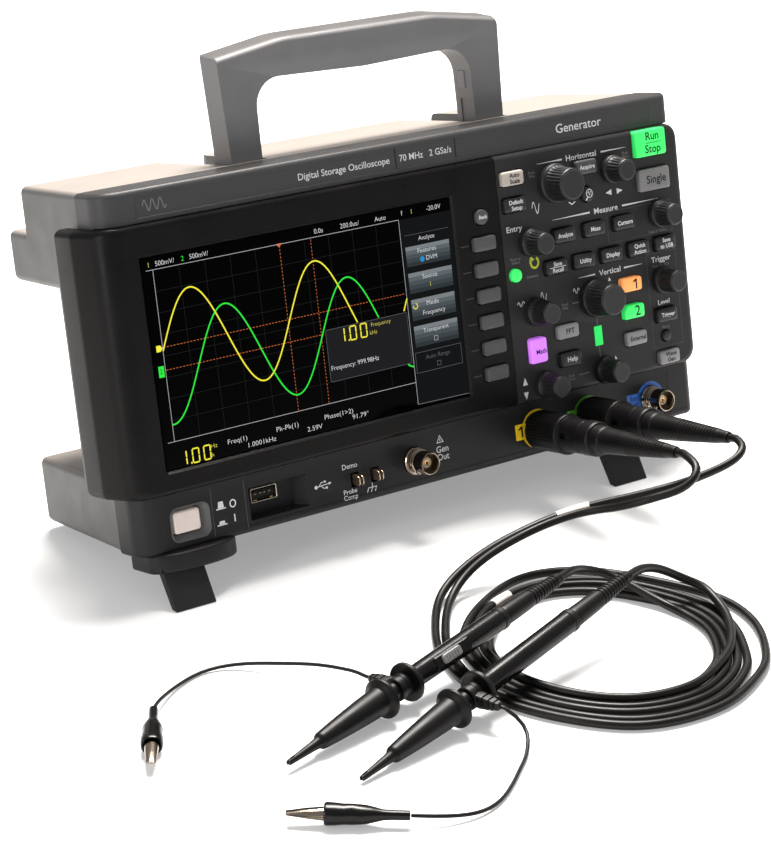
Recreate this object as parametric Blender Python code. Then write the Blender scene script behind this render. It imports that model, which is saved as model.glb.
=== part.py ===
"""Bench oscilloscope with a built-in function generator, standing on its two front tilt legs,
with two passive probes plugged in and coiled in front of it. Metres, +Z up, front towards -Y.

The body is modelled in its own upright frame: x right, y back from the display face, z up from
the underside. The empty "body" leans that frame back, so every piece of the body is its child.
"""

import math

import bmesh
import bpy
from mathutils import Vector

# Body
TILT = math.radians(10.5)
BODY_LIFT = 0.02095
BODY_SHIFT = -0.0571
CASE_HALF = 0.150
CASE_DRAFT = 0.127
CASE_FRONT = 0.0223
CASE_TOP = 0.150
BLOCK_REAR = 0.084
CASE_REAR = 0.104
RECESS_FLOOR = 0.054
RECESS_LOW, RECESS_HIGH = 0.030, 0.108
STEP_TOP = 0.130
WALL = 0.0025
GAP = 0.0003

# Front
BEZEL_HALF = 0.157
BEZEL_DEPTH = 0.030
BEZEL_LOW, BEZEL_HIGH = 0.025, 0.136
BEZEL_SPLIT = 0.0455
PLATE = 0.008
HOUSING_FRONT = 0.003
HOUSING_BACK = 0.022
SCREEN_SIZE = (0.1554, 0.0874)
SCREEN_CENTRE = (-0.0577, 0.0785)
CONNECTOR_Z = 0.012

# Handle
PIVOT = (0.039, 0.136)
HANDLE_HALF = 0.072
HANDLE_FLARE = 0.002
HANDLE_LEG = 0.015
HANDLE_FRONT, HANDLE_BACK = 0.025, 0.038
HANDLE_CORNER_Z, HANDLE_TOP_Z = 0.1945, 0.2005
GRIP_LOW_Z = 0.1836

# Tilt legs
LEG_WIDTH = 0.0195
LEG_PIVOT = (0.005, -0.0035)
LEGS = {"left": -0.133, "right": 0.102}
PAD_OFFSET = 0.0075
PAD_WIDTH, PAD_HEIGHT = 0.042, 0.007

# Keys: centre x, centre z, width, height and how far each stands proud of the panel
KEY_FIT = 0.00035
KEY_BACK = 0.0045
WIDE, LOW = 0.0120, 0.0063
ROUND_KEY = 0.0068
WEB_FRONT, WEB_BACK = 0.0090, 0.0102
SOFTKEY_PITCH = 0.0115
DISPLAY_KEYS = {
    "back_key": (0.0350, 0.1114, ROUND_KEY, ROUND_KEY, 0.0016),
    "softkeys": [(0.0350, 0.0422 + i * SOFTKEY_PITCH, WIDE, LOW, 0.0020) for i in range(6)],
}
PANEL_KEYS = {
    "auto_scale_key": (0.0536, 0.1255, WIDE, LOW, 0.0020),
    "default_setup_key": (0.0536, 0.1137, WIDE, LOW, 0.0020),
    "acquire_key": (0.0952, 0.1242, WIDE, LOW, 0.0024),
    "zoom_key": (0.0951, 0.1119, ROUND_KEY, ROUND_KEY, 0.0020),
    "run_stop_key": (0.1340, 0.1294, 0.0182, 0.0120, 0.0020),
    "single_key": (0.1346, 0.1127, 0.0182, 0.0101, 0.0020),
    "measure_keys": [(x, 0.0960, WIDE, LOW, 0.0024) for x in (0.0793, 0.0968, 0.1143)],
    "file_keys": [(0.0733 + i * 0.0161, 0.0828, WIDE, LOW, 0.0024) for i in range(5)],
    "intensity_key": (0.0509, 0.0827, 0.0060, 0.0060, 0.0016),
    "channel_1_key": (0.1156, 0.0673, WIDE, LOW, 0.0020),
    "channel_2_key": (0.1158, 0.0548, WIDE, LOW, 0.0020),
    "trigger_key": (0.1350, 0.0499, 0.0118, LOW, 0.0024),
    "force_key": (0.1345, 0.0399, 0.0050, 0.0050, 0.0014),
    "fft_key": (0.0765, 0.0530, WIDE, LOW, 0.0020),
    "math_key": (0.0589, 0.0476, 0.0092, 0.0112, 0.0020),
    "external_key": (0.1159, 0.0424, WIDE, LOW, 0.0020),
    "help_key": (0.0766, 0.0404, WIDE, LOW, 0.0024),
    "generator_key": (0.1346, 0.0302, WIDE, LOW, 0.0020),
}
POWER_KEY = (-0.1279, 0.0121, 0.0127, 0.0092, 0.0010)

# Knobs: centre x, centre z
BIG_KNOBS = {"horizontal_scale_knob": (0.0770, 0.1197), "vertical_scale_knob": (0.0944, 0.0648)}
SMALL_KNOBS = {
    "horizontal_position_knob": (0.1106, 0.1208),
    "entry_knob": (0.0608, 0.0958),
    "cursors_knob": (0.1365, 0.0965),
    "trigger_level_knob": (0.1352, 0.0660),
    "math_scale_knob": (0.0604, 0.0648),
    "math_position_knob": (0.0620, 0.0313),
    "vertical_position_knob": (0.0967, 0.0312),
}
BIG_BASE, BIG_FACE, BIG_PROUD = 0.0088, 0.0067, 0.0140
SMALL_BASE, SMALL_FACE, SMALL_PROUD = 0.0064, 0.0043, 0.0120
SHAFT = 0.003

# Sockets along the connector strip
SOCKETS = {"gen_out": -0.0112, "channel_1": 0.056, "channel_2": 0.086, "ext_trigger": 0.1245}
SOCKET_R = 0.00485
SOCKET_PROUD = 0.0155
USB_CENTRE = (-0.0871, 0.0140)
USB_POCKET = (-0.0972, -0.0672, 0.0050, 0.0188)
TERMINALS = (-0.0435, -0.0330)

# Probes
CABLE_R = 0.0018
LEAD_R = 0.00075
PLUG_END = 0.0945
COIL_CENTRE = (-0.0250, -0.1960)
COIL_INNER, COIL_OUTER, COIL_HEIGHT = 0.043, 0.067, 0.0074
PROBE_LENGTH = 0.168
BOOT_LENGTH = 0.042
FLANGE_AT, LEAD_AT, SLEEVE_AT = 0.098, 0.104, 0.113
HOOK_TRAVEL = 0.005
LEAD_ARM = 0.014
CLIP_LENGTH = 0.043

CABLE_1_ROUTE = [
    (0.0552, -0.1548, 0.0510),
    (0.0516, -0.1605, 0.0503),
    (0.0463, -0.1630, 0.0472),
    (0.0412, -0.1605, 0.0422),
    (0.0360, -0.1545, 0.0380),
    (0.0302, -0.1465, 0.0344),
    (0.0195, -0.1325, 0.0280),
    (0.0075, -0.1250, 0.0240),
    (-0.0055, -0.1210, 0.0198),
    (-0.0170, -0.1190, 0.0159),
    (-0.0280, -0.1185, 0.0118),
    (-0.0380, -0.1198, 0.0072),
    (-0.0465, -0.1240, 0.0036),
    (-0.0540, -0.1310, 0.0021),
]
CABLE_2_ROUTE = [
    (0.0838, -0.1543, 0.0506),
    (0.0783, -0.1577, 0.0490),
    (0.0715, -0.1580, 0.0458),
    (0.0645, -0.1556, 0.0416),
    (0.0575, -0.1516, 0.0382),
    (0.0495, -0.1462, 0.0354),
    (0.0393, -0.1385, 0.0317),
    (0.0240, -0.1255, 0.0262),
    (0.0110, -0.1195, 0.0226),
    (-0.0013, -0.1162, 0.0190),
    (-0.0135, -0.1145, 0.0157),
    (-0.0270, -0.1142, 0.0114),
    (-0.0390, -0.1156, 0.0069),
    (-0.0490, -0.1200, 0.0034),
    (-0.0570, -0.1277, 0.0020),
    (-0.0646, -0.1366, 0.0019),
]
TAIL_1_ROUTE = [(-0.0120, -0.1590, 0.0178), (-0.0020, -0.1563, 0.0150), (0.0075, -0.1553, 0.0112),
                (0.0150, -0.1575, 0.0096)]
TAIL_2_ROUTE = [(0.0040, -0.1826, 0.0232), (0.0150, -0.1808, 0.0200), (0.0250, -0.1812, 0.0138),
                (0.0320, -0.1842, 0.0100), (0.0340, -0.1900, 0.0096)]
LEAD_1_ROUTE = [(-0.1268, -0.1690, 0.0090), (-0.1325, -0.1520, 0.0070), (-0.1415, -0.1365, 0.0042),
                (-0.1490, -0.1265, 0.0024), (-0.1575, -0.1207, 0.0012), (-0.1660, -0.1200, 0.0009),
                (-0.1740, -0.1226, 0.0010), (-0.1820, -0.1265, 0.0014), (-0.1895, -0.1320, 0.0026),
                (-0.1960, -0.1375, 0.0039)]
LEAD_2_ROUTE = [(-0.0990, -0.2320, 0.0068), (-0.0996, -0.2385, 0.0032), (-0.1078, -0.2480, 0.0012),
                (-0.1170, -0.2555, 0.0009), (-0.1268, -0.2632, 0.0009), (-0.1370, -0.2697, 0.0010),
                (-0.1470, -0.2728, 0.0014), (-0.1570, -0.2720, 0.0024), (-0.1660, -0.2686, 0.0036)]
PROBES = {
    "1": {
        "socket": "channel_1",
        "boot_end": (-0.0225, -0.1632, 0.0187),
        "tip": (-0.1830, -0.2064, 0.0037),
        "arm": (-0.2673, 0.9638, 0.0),
        "route": CABLE_1_ROUTE,
        "tail": TAIL_1_ROUTE,
        "lead": LEAD_1_ROUTE,
        "clip": ((-0.2009, -0.1425, 0.0043), (-0.2247, -0.1792, 0.0043)),
    },
    "2": {
        "socket": "channel_2",
        "boot_end": (-0.0069, -0.1872, 0.0240),
        "tip": (-0.1671, -0.2290, 0.0020),
        "arm": (0.2620, -0.9650, 0.0),
        "route": CABLE_2_ROUTE,
        "tail": TAIL_2_ROUTE,
        "lead": LEAD_2_ROUTE,
        "clip": ((-0.1728, -0.2646, 0.0043), (-0.2063, -0.2376, 0.0043)),
    },
}


def material(name, colour, roughness, metallic=0.0):
    made = bpy.data.materials.new(name)
    made.use_nodes = True
    shader = made.node_tree.nodes["Principled BSDF"]
    shader.inputs["Base Color"].default_value = (*colour, 1.0)
    shader.inputs["Roughness"].default_value = roughness
    shader.inputs["Metallic"].default_value = metallic
    return made


def add_object(name, mesh, finish=None, parent=None, location=(0, 0, 0), rotation=(0, 0, 0)):
    obj = bpy.data.objects.new(name, mesh)
    bpy.context.scene.collection.objects.link(obj)
    obj.parent = parent
    obj.location = location
    obj.rotation_euler = rotation
    if finish:
        mesh.materials.append(finish)
    return obj


def finish_mesh(name, bm, smooth=False):
    bmesh.ops.remove_doubles(bm, verts=bm.verts, dist=1e-6)
    bmesh.ops.recalc_face_normals(bm, faces=bm.faces)
    mesh = bpy.data.meshes.new(name)
    bm.to_mesh(mesh)
    bm.free()
    if smooth:
        mesh.shade_smooth()
        mesh.set_sharp_from_angle(angle=math.radians(35))
    return mesh


def rounded(corners, steps=3):
    """Outline through (u, v, radius) corners, each corner an arc of its radius."""
    points = []
    for i, (u, v, radius) in enumerate(corners):
        here = Vector((u, v))
        if not radius:
            points.append(here)
            continue
        before = (Vector(corners[i - 1][:2]) - here).normalized()
        after = (Vector(corners[(i + 1) % len(corners)][:2]) - here).normalized()
        half = before.angle(after) / 2
        centre = here + (before + after).normalized() * radius / math.sin(half)
        first = here + before * radius / math.tan(half) - centre
        sweep = first.angle_signed(here + after * radius / math.tan(half) - centre)
        for k in range(steps + 1):
            angle = -sweep * k / steps
            turn = Vector((first.x * math.cos(angle) - first.y * math.sin(angle),
                           first.x * math.sin(angle) + first.y * math.cos(angle)))
            points.append(centre + turn)
    return points


def rectangle(cx, cz, width, height, radius=0.0):
    u, v = width / 2, height / 2
    return [(cx - u, cz - v, radius), (cx + u, cz - v, radius),
            (cx + u, cz + v, radius), (cx - u, cz + v, radius)]


def add_prism(bm, outline, axis, start, end):
    """Extrudes an outline along axis x, y or z; the outline's pair is the other two axes in order."""
    place = {
        "x": lambda w, p: (w, p[0], p[1]),
        "y": lambda w, p: (p[0], w, p[1]),
        "z": lambda w, p: (p[0], p[1], w),
    }[axis]
    add_loft(bm, [[place(w, p) for p in outline] for w in (start, end)])


def add_box(bm, low, high):
    outline = [(low[0], low[1]), (high[0], low[1]), (high[0], high[1]), (low[0], high[1])]
    add_prism(bm, outline, "z", low[2], high[2])


def add_loft(bm, loops):
    rings = [[bm.verts.new(p) for p in loop] for loop in loops]
    for ring, following in zip(rings, rings[1:]):
        for i, vert in enumerate(ring):
            j = (i + 1) % len(ring)
            bm.faces.new((vert, ring[j], following[j], following[i]))
    bm.faces.new(rings[0])
    bm.faces.new(rings[-1])


def prism(name, outline, axis, start, end):
    bm = bmesh.new()
    add_prism(bm, outline, axis, start, end)
    return finish_mesh(name, bm)


def turned(name, profile, steps):
    """Solid of revolution about local Z from (radius, z) points that start and end on the axis."""
    bm = bmesh.new()
    verts = [bm.verts.new((r, 0, z)) for r, z in profile]
    edges = [bm.edges.new(pair) for pair in zip(verts, verts[1:])]
    bmesh.ops.spin(bm, geom=verts + edges, cent=(0, 0, 0), axis=(0, 0, 1),
                   angle=2 * math.pi, steps=steps)
    return finish_mesh(name, bm, smooth=True)


def bevel(obj, width, segments=1):
    modifier = obj.modifiers.new("edges", "BEVEL")
    modifier.width = width
    modifier.segments = segments
    modifier.limit_method = "ANGLE"
    modifier.angle_limit = math.radians(50)


def combine(obj, other_mesh, operation="DIFFERENCE"):
    """Boolean with a helper mesh in the same frame as obj. Returns the helper."""
    helper = add_object(f"{obj.name}_{len(obj.modifiers)}_helper", other_mesh, parent=obj.parent,
                        location=obj.location, rotation=obj.rotation_euler)
    helper.hide_render = True
    helper.display_type = "WIRE"
    modifier = obj.modifiers.new(operation.lower(), "BOOLEAN")
    modifier.operation = operation
    modifier.solver = "EXACT"
    modifier.object = helper
    return helper


def boxes_mesh(name, boxes):
    bm = bmesh.new()
    for low, high in boxes:
        add_box(bm, low, high)
    return finish_mesh(name, bm)


def mirrored(low, high):
    """The same box on the right side and on the left side."""
    return [(low, high), ((-high[0], low[1], low[2]), (-low[0], high[1], high[2]))]


# ---------------------------------------------------------------------------- rear case


def case_profile(inset):
    """C-shaped side outline: top block with a rear step, recessed middle, bottom block."""
    y0 = CASE_FRONT - 0.01
    round_by = 0.004 - inset
    return rounded([
        (y0, inset, 0),
        (y0, CASE_TOP - inset, 0),
        (BLOCK_REAR - inset, CASE_TOP - inset, round_by),
        (BLOCK_REAR - inset, STEP_TOP - inset, 0.002),
        (CASE_REAR - inset, STEP_TOP - inset, round_by),
        (CASE_REAR - inset, RECESS_HIGH + inset, round_by),
        (RECESS_FLOOR - inset, RECESS_HIGH + inset, 0.003),
        (RECESS_FLOOR - inset, RECESS_LOW - inset, 0.003),
        (CASE_REAR - inset, RECESS_LOW - inset, round_by),
        (CASE_REAR - inset, 0.001 + inset, round_by),
    ], steps=2)


def case_solid(name, inset):
    bm = bmesh.new()
    add_prism(bm, case_profile(inset), "x", -1.0, 1.0)
    for vert in bm.verts:
        half = CASE_HALF - inset - CASE_DRAFT * (vert.co.y - CASE_FRONT)
        vert.co.x = math.copysign(half, vert.co.x)
    return finish_mesh(name, bm)


def channel_outline(side, grow):
    """Plan of the channel that the folded handle leg lies in, clear of the grip's inner corner."""
    inner, outer = 0.0545 - grow, 0.0755 + grow
    outline = [(inner, 0.0400), (inner, 0.0740), (inner - 0.005, 0.0850), (inner - 0.010, 0.0950),
               (outer, 0.0950), (outer, 0.0400)]
    return [(side * x, y) for x, y in outline]


def handle_room(name, grow):
    """Pivot wells and leg channels for both handle legs."""
    bm = bmesh.new()
    for side in (-1, 1):
        x0, x1 = sorted((side * (0.0545 - grow), side * (0.0745 + grow)))
        add_box(bm, (x0, 0.0245 - grow, 0.1285 - grow), (x1, 0.0492 + grow, 0.1600))
        add_prism(bm, channel_outline(side, grow), "z", PIVOT[1] - grow, 0.1600)
    return finish_mesh(name, bm)


def merge_bodies(name, mesh, parent):
    """Hidden object whose overlapping bodies are united, to serve as one clean cutter."""
    tool = add_object(name, mesh, parent=parent)
    tool.hide_render = True
    tool.display_type = "WIRE"
    modifier = tool.modifiers.new("unite", "BOOLEAN")
    modifier.operation = "UNION"
    modifier.solver = "EXACT"
    modifier.use_self = True
    seed = bmesh.new()
    add_box(seed, (-0.0605, 0.0300, 0.1440), (-0.0600, 0.0310, 0.1450))
    modifier.object = add_object(name + "_seed", finish_mesh(name + "_seed", seed), parent=parent)
    modifier.object.hide_render = True
    modifier.object.display_type = "WIRE"
    return tool


def foot_outline():
    """Side outline of a rear foot, cut level with the bench."""
    def bench(y):
        return (math.sin(TILT) * y - BODY_LIFT) / math.cos(TILT)
    return [(0.0880, 0.0040), (0.0880, bench(0.0880)), (0.1000, bench(0.1000)), (0.1000, 0.0040)]


def build_rear_case(body, finish):
    case = add_object("rear_case", case_solid("rear_case", 0.0), finish, body)
    bevel(case, 0.0025)
    combine(case, boxes_mesh("case_front", [((-0.2, 0.0, -0.01), (0.2, CASE_FRONT, 0.2))]))
    cavity = combine(case, case_solid("case_cavity", WALL))
    walls = merge_bodies("slot_walls", handle_room("slot_walls", WALL), body)
    keep = cavity.modifiers.new("slot walls", "BOOLEAN")
    keep.operation = "DIFFERENCE"
    keep.solver = "EXACT"
    keep.object = walls
    slots = merge_bodies("slots", handle_room("slots", 0.0), body)
    cut = case.modifiers.new("slots", "BOOLEAN")
    cut.operation = "DIFFERENCE"
    cut.solver = "EXACT"
    cut.object = slots
    combine(case, boxes_mesh("inlet_hole", [((-0.1145, 0.0400, 0.0545), (-0.0855, 0.0700, 0.0755))]))
    feet = bmesh.new()
    for x in (-0.118, 0.118):
        add_prism(feet, foot_outline(), "x", x - 0.009, x + 0.009)
    combine(case, finish_mesh("rear_feet", feet), "UNION")
    return case


# ---------------------------------------------------------------------------- front pieces


def build_front_housing(body, finish):
    plan = rounded([(-CASE_HALF, HOUSING_BACK + 0.01, 0), (-CASE_HALF, HOUSING_FRONT, 0.010),
                    (CASE_HALF, HOUSING_FRONT, 0.010), (CASE_HALF, HOUSING_BACK + 0.01, 0)], steps=4)
    housing = add_object("front_housing", prism("front_housing", plan, "z", 0, CASE_TOP), finish, body)
    bevel(housing, 0.0020)
    low, high = BEZEL_LOW - GAP, BEZEL_HIGH + GAP
    inside = CASE_HALF - 0.004
    openings = [
        ((-0.2, HOUSING_BACK, -0.01), (0.2, 0.05, 0.2)),
        ((-inside, -0.01, low), (inside, 0.03, high)),
        ((-inside, 0.006, high - 0.001), (inside, 0.03, CASE_TOP - WALL)),
        ((-inside, 0.006, WALL), (-0.1000, 0.03, low + 0.001)),
        ((-0.0640, 0.006, WALL), (inside, 0.03, low + 0.001)),
    ]
    bm = bmesh.new()
    for box in openings:
        add_box(bm, *box)
    window = merge_bodies("housing_room", finish_mesh("housing_room", bm), body)
    window.modifiers["unite"].object.location = (0.03, -0.02, -0.08)
    cut = housing.modifiers.new("room", "BOOLEAN")
    cut.operation = "DIFFERENCE"
    cut.solver = "EXACT"
    cut.object = window
    ledges = mirrored((inside - 0.004, -0.01, low), (0.2, PLATE + 0.0024, high))
    combine(housing, boxes_mesh("ledges", ledges))
    holes = bmesh.new()
    for x in SOCKETS.values():
        add_prism(holes, circle(x, CONNECTOR_Z, 0.0053), "y", -0.01, 0.02)
    x, z, width, height, _ = POWER_KEY
    fit = 2 * KEY_FIT
    key_hole = rounded(rectangle(x, z, width + fit, height + fit, 0.0012), 2)
    add_prism(holes, key_hole, "y", -0.01, 0.02)
    x0, x1, z0, z1 = USB_POCKET
    add_box(holes, (x0, -0.01, z0), (x1, 0.0075, z1))
    for x in TERMINALS:
        add_box(holes, (x - 0.0022, -0.01, 0.0075), (x + 0.0022, 0.02, 0.0140))
    combine(housing, finish_mesh("strip_holes", holes))
    x, z = USB_CENTRE
    usb_hole = ((x - 0.0069, 0.0, z - 0.0032), (x + 0.0069, 0.05, z + 0.0032))
    combine(housing, boxes_mesh("usb_hole", [usb_hole]))
    pads = bmesh.new()
    for centre in LEGS.values():
        add_prism(pads, pad_outline(centre + PAD_OFFSET), "z", -PAD_HEIGHT, 0.0020)
    combine(housing, finish_mesh("pads", pads), "UNION")
    half = LEG_WIDTH / 2 + 0.0006
    slots = [((x - half, 0.0008, -0.02), (x + half, 0.03, -0.0006)) for x in LEGS.values()]
    combine(housing, boxes_mesh("leg_slots", slots))
    return housing


def circle(cx, cz, radius, steps=16):
    turn = 2 * math.pi / steps
    return [(cx + radius * math.cos(i * turn), cz + radius * math.sin(i * turn)) for i in range(steps)]


def pad_outline(cx, steps=10):
    """Foot pad in plan: straight at the back, half an ellipse at the front."""
    front, straight, back = -0.0015, 0.0080, 0.0210
    points = [(cx - PAD_WIDTH / 2, back)]
    for i in range(steps + 1):
        angle = math.pi * (1 + i / steps)
        points.append((cx + PAD_WIDTH / 2 * math.cos(angle),
                       straight + (straight - front) * math.sin(angle)))
    points.append((cx + PAD_WIDTH / 2, back))
    return points


def key_cells(keys):
    """Each key's list of cells, because a row on one web is a list and a single key isn't."""
    return {name: cells if isinstance(cells, list) else [cells] for name, cells in keys.items()}


def hole_outline(cell):
    x, z, width, height, _ = cell
    fit = 2 * KEY_FIT
    if width == height:
        return circle(x, z, width / 2 + KEY_FIT, 12)
    return rounded(rectangle(x, z, width + fit, height + fit, 0.0013), 2)


def build_face(name, plan, keys, knobs, body, finish):
    """A front plate with its wrapped side, cut for its keys and its knobs' shafts."""
    face = add_object(name, prism(name, plan, "z", BEZEL_LOW, BEZEL_HIGH), finish, body)
    bevel(face, 0.0020)
    holes = bmesh.new()
    for cells in key_cells(keys).values():
        for cell in cells:
            add_prism(holes, hole_outline(cell), "y", -0.01, 0.02)
    for x, z in knobs:
        add_prism(holes, circle(x, z, SHAFT + 0.0006, 12), "y", -0.01, 0.02)
    combine(face, finish_mesh(name + "_holes", holes))
    return face


def build_faces(body, dark, charcoal):
    wrap = CASE_HALF + GAP
    split = BEZEL_SPLIT - GAP / 2
    left = rounded([(split, 0, 0), (split, PLATE, 0), (-wrap, PLATE, 0), (-wrap, BEZEL_DEPTH, 0),
                    (-BEZEL_HALF, BEZEL_DEPTH, 0), (-BEZEL_HALF, 0.0175, 0), (-0.1520, 0, 0.006)], 3)
    bezel = build_face("display_bezel", left, DISPLAY_KEYS, [], body, dark)
    x, z = SCREEN_CENTRE
    width, height = SCREEN_SIZE
    opening = rectangle(x, z, width + 0.0006, height + 0.0006)
    combine(bezel, prism("screen_opening", [p[:2] for p in opening], "y", -0.01, 0.02))
    split = BEZEL_SPLIT + GAP / 2
    right = rounded([(split, 0, 0), (0.1520, 0, 0.006), (BEZEL_HALF, 0.0175, 0),
                     (BEZEL_HALF, BEZEL_DEPTH, 0), (wrap, BEZEL_DEPTH, 0), (wrap, PLATE, 0),
                     (split, PLATE, 0)], 3)
    knobs = list(BIG_KNOBS.values()) + list(SMALL_KNOBS.values())
    build_face("control_panel", right, PANEL_KEYS, knobs, body, charcoal)


def build_display(body, finish):
    """Display module: its bonded glass fills the bezel's opening, its frame sits behind the plate."""
    x, z = SCREEN_CENTRE
    width, height = SCREEN_SIZE
    bm = bmesh.new()
    glass = [p[:2] for p in rectangle(x, z, width, height)]
    frame = [p[:2] for p in rectangle(x, z, width + 0.009, height + 0.011)]
    layers = [(0.0012, glass), (PLATE + GAP, glass), (PLATE + GAP, frame), (0.0150, frame)]
    add_loft(bm, [[(u, y, v) for u, v in outline] for y, outline in layers])
    add_object("display_module", finish_mesh("display_module", bm), finish, body)


def key_loops(cell, back):
    """Front edge eased by 0.6 mm, all on one rounded outline."""
    x, z, width, height, proud = cell
    ease = 0.0006
    def outline(shrink):
        if width == height:
            return circle(x, z, width / 2 - shrink, 12)
        return rounded(rectangle(x, z, width - 2 * shrink, height - 2 * shrink, 0.0010), 2)
    depths = [(-proud, outline(ease)), (ease - proud, outline(0)), (back, outline(0))]
    return [[(u, y, v) for u, v in points] for y, points in depths]


def build_key(name, cells, body, finish, front=0.0):
    """One key, or a row of keys that share a web behind the panel."""
    single = len(cells) == 1
    bm = bmesh.new()
    centre = Vector((sum(c[0] for c in cells), 0, sum(c[1] for c in cells))) / len(cells)
    for cell in cells:
        add_loft(bm, key_loops(cell, KEY_BACK if single else WEB_FRONT + 0.0005))
    bmesh.ops.translate(bm, verts=bm.verts, vec=Vector((0, front, 0)) - centre)
    key = add_object(name, finish_mesh(name, bm, smooth=True), finish, body, location=centre)
    if single:
        return
    xs = [c[0] - centre.x for c in cells]
    zs = [c[1] - centre.z for c in cells]
    web = [((min(xs) - 0.003, WEB_FRONT, min(zs) - 0.002), (max(xs) + 0.003, WEB_BACK, max(zs) + 0.002))]
    combine(key, boxes_mesh(name + "_web", web), "UNION")


def build_knob(name, place, base, face, proud, body, finish):
    """Skirt, tapered grip and a shaft that runs back through the panel. Local Z points outwards."""
    profile = [(0, -0.0086), (SHAFT, -0.0086), (SHAFT, 0.0004), (base, 0.0004), (base, 0.0030),
               (face + 0.0008, 0.0042), (face, proud - 0.0006), (face - 0.0006, proud), (0, proud)]
    add_object(name, turned(name, profile, 20), finish, body, location=(place[0], 0, place[1]),
               rotation=(math.pi / 2, 0, 0))


# ---------------------------------------------------------------------------- sockets


def build_socket(name, x, body, finish):
    """Bayonet socket: nut against the strip, barrel, and the insulator with its bore inside."""
    tip = SOCKET_PROUD
    profile = [(0, -0.0080), (0.0045, -0.0080), (0.0045, GAP), (0.0072, GAP), (0.0072, 0.0024),
               (SOCKET_R, 0.0024), (SOCKET_R, tip), (0.0041, tip), (0.0041, 0.0060),
               (0.0024, 0.0060), (0.0024, 0.0098), (0, 0.0098)]
    add_object(name, turned(name, profile, 16), finish, body,
               location=(x, HOUSING_FRONT, CONNECTOR_Z), rotation=(math.pi / 2, 0, 0))


def stepped(name, layers, centre):
    """Loft of centred rectangles: each layer is (y, width, height)."""
    bm = bmesh.new()
    loops = []
    for y, width, height in layers:
        loops.append([(u, y, v) for u, v, _ in rectangle(*centre, width, height)])
    add_loft(bm, loops)
    return finish_mesh(name, bm)


def build_ports(body, steel, dark, brass):
    usb = stepped("usb_port", [(0.0180, 0.0125, 0.0053), (0.0078, 0.0125, 0.0053),
                               (0.0078, 0.0133, 0.0061), (0.0210, 0.0133, 0.0061)], USB_CENTRE)
    add_object("usb_port", usb, steel, body)
    inlet = stepped("ac_inlet", [(0.0400, 0.0240, 0.0155), (0.0565, 0.0240, 0.0155),
                                 (0.0565, 0.0480, 0.0280), (0.0543, 0.0480, 0.0280),
                                 (0.0543, 0.0280, 0.0200), (0.0330, 0.0280, 0.0200)], (-0.100, 0.065))
    add_object("ac_inlet", inlet, dark, body)
    middle = sum(TERMINALS) / 2
    base = ((middle - 0.009, 0.0064, 0.0070), (middle + 0.009, 0.0090, 0.0145))
    terminals = add_object("probe_comp_terminals", boxes_mesh("terminal_base", [base]), brass, body)
    lugs = [((x - 0.0012, -0.0020, 0.0085), (x + 0.0012, 0.0070, 0.0130)) for x in TERMINALS]
    combine(terminals, boxes_mesh("lugs", lugs), "UNION")


# ---------------------------------------------------------------------------- handle and legs


def handle_outline():
    """Front view of the handle down to the pivot's height: outer edge, then inner edge."""
    top = HANDLE_HALF + HANDLE_FLARE
    inner = HANDLE_HALF - HANDLE_LEG
    base = PIVOT[1] + 0.006
    corners = [
        (-HANDLE_HALF, base, 0), (-top, HANDLE_CORNER_Z, 0.004), (-0.040, HANDLE_TOP_Z - 0.001, 0.060),
        (0.040, HANDLE_TOP_Z - 0.001, 0.060), (top, HANDLE_CORNER_Z, 0.004), (HANDLE_HALF, base, 0),
        (inner, base, 0), (inner - 0.0005, GRIP_LOW_Z, 0.012), (0, GRIP_LOW_Z - 0.0018, 0),
        (0.0005 - inner, GRIP_LOW_Z, 0.012), (-inner, base, 0),
    ]
    return rounded(corners, 3)


def build_handle(body, finish):
    bm = bmesh.new()
    add_prism(bm, handle_outline(), "y", HANDLE_FRONT, HANDLE_BACK)
    for vert in bm.verts:
        if vert.co.y > HANDLE_FRONT + 0.001 and vert.co.z > HANDLE_CORNER_Z - 0.005:
            vert.co.z += 0.0025
    bmesh.ops.translate(bm, verts=bm.verts, vec=(0, -PIVOT[0], -PIVOT[1]))
    handle = add_object("handle", finish_mesh("handle", bm), finish, body, location=(0, *PIVOT))
    feet = bmesh.new()
    radius = 0.0068
    arc = [math.radians(a) for a in range(212, 413, 25)]
    side = [(HANDLE_FRONT - PIVOT[0], 0.0100), (HANDLE_FRONT - PIVOT[0], 0.0030)]
    side += [(radius * math.cos(a), radius * math.sin(a)) for a in arc]
    side += [(HANDLE_BACK - PIVOT[0], 0.0100)]
    for sign in (-1, 1):
        x0, x1 = sorted((sign * HANDLE_HALF, sign * (HANDLE_HALF - HANDLE_LEG)))
        add_prism(feet, side, "x", x0, x1)
    combine(handle, finish_mesh("handle_eyes", feet), "UNION")
    bevel(handle, 0.0012)


def build_leg(name, x, body, finish):
    """Flat leg with a round eye at its pivot; its end is cut level with the bench."""
    def bench(y):
        return (math.sin(TILT) * y - BODY_LIFT) / math.cos(TILT)
    toe, heel = -0.0049, -0.0012
    y0, z0 = LEG_PIVOT
    eye = 0.0024
    points = [(toe - y0, bench(toe) - z0), (heel - y0, bench(heel) - z0)]
    points += [(eye * math.cos(math.radians(a)), eye * math.sin(math.radians(a)))
               for a in range(-20, 201, 44)]
    mesh = prism(name, points, "x", -LEG_WIDTH / 2, LEG_WIDTH / 2)
    add_object(name, mesh, finish, body, location=(x, y0, z0))


# ---------------------------------------------------------------------------- probes


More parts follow.
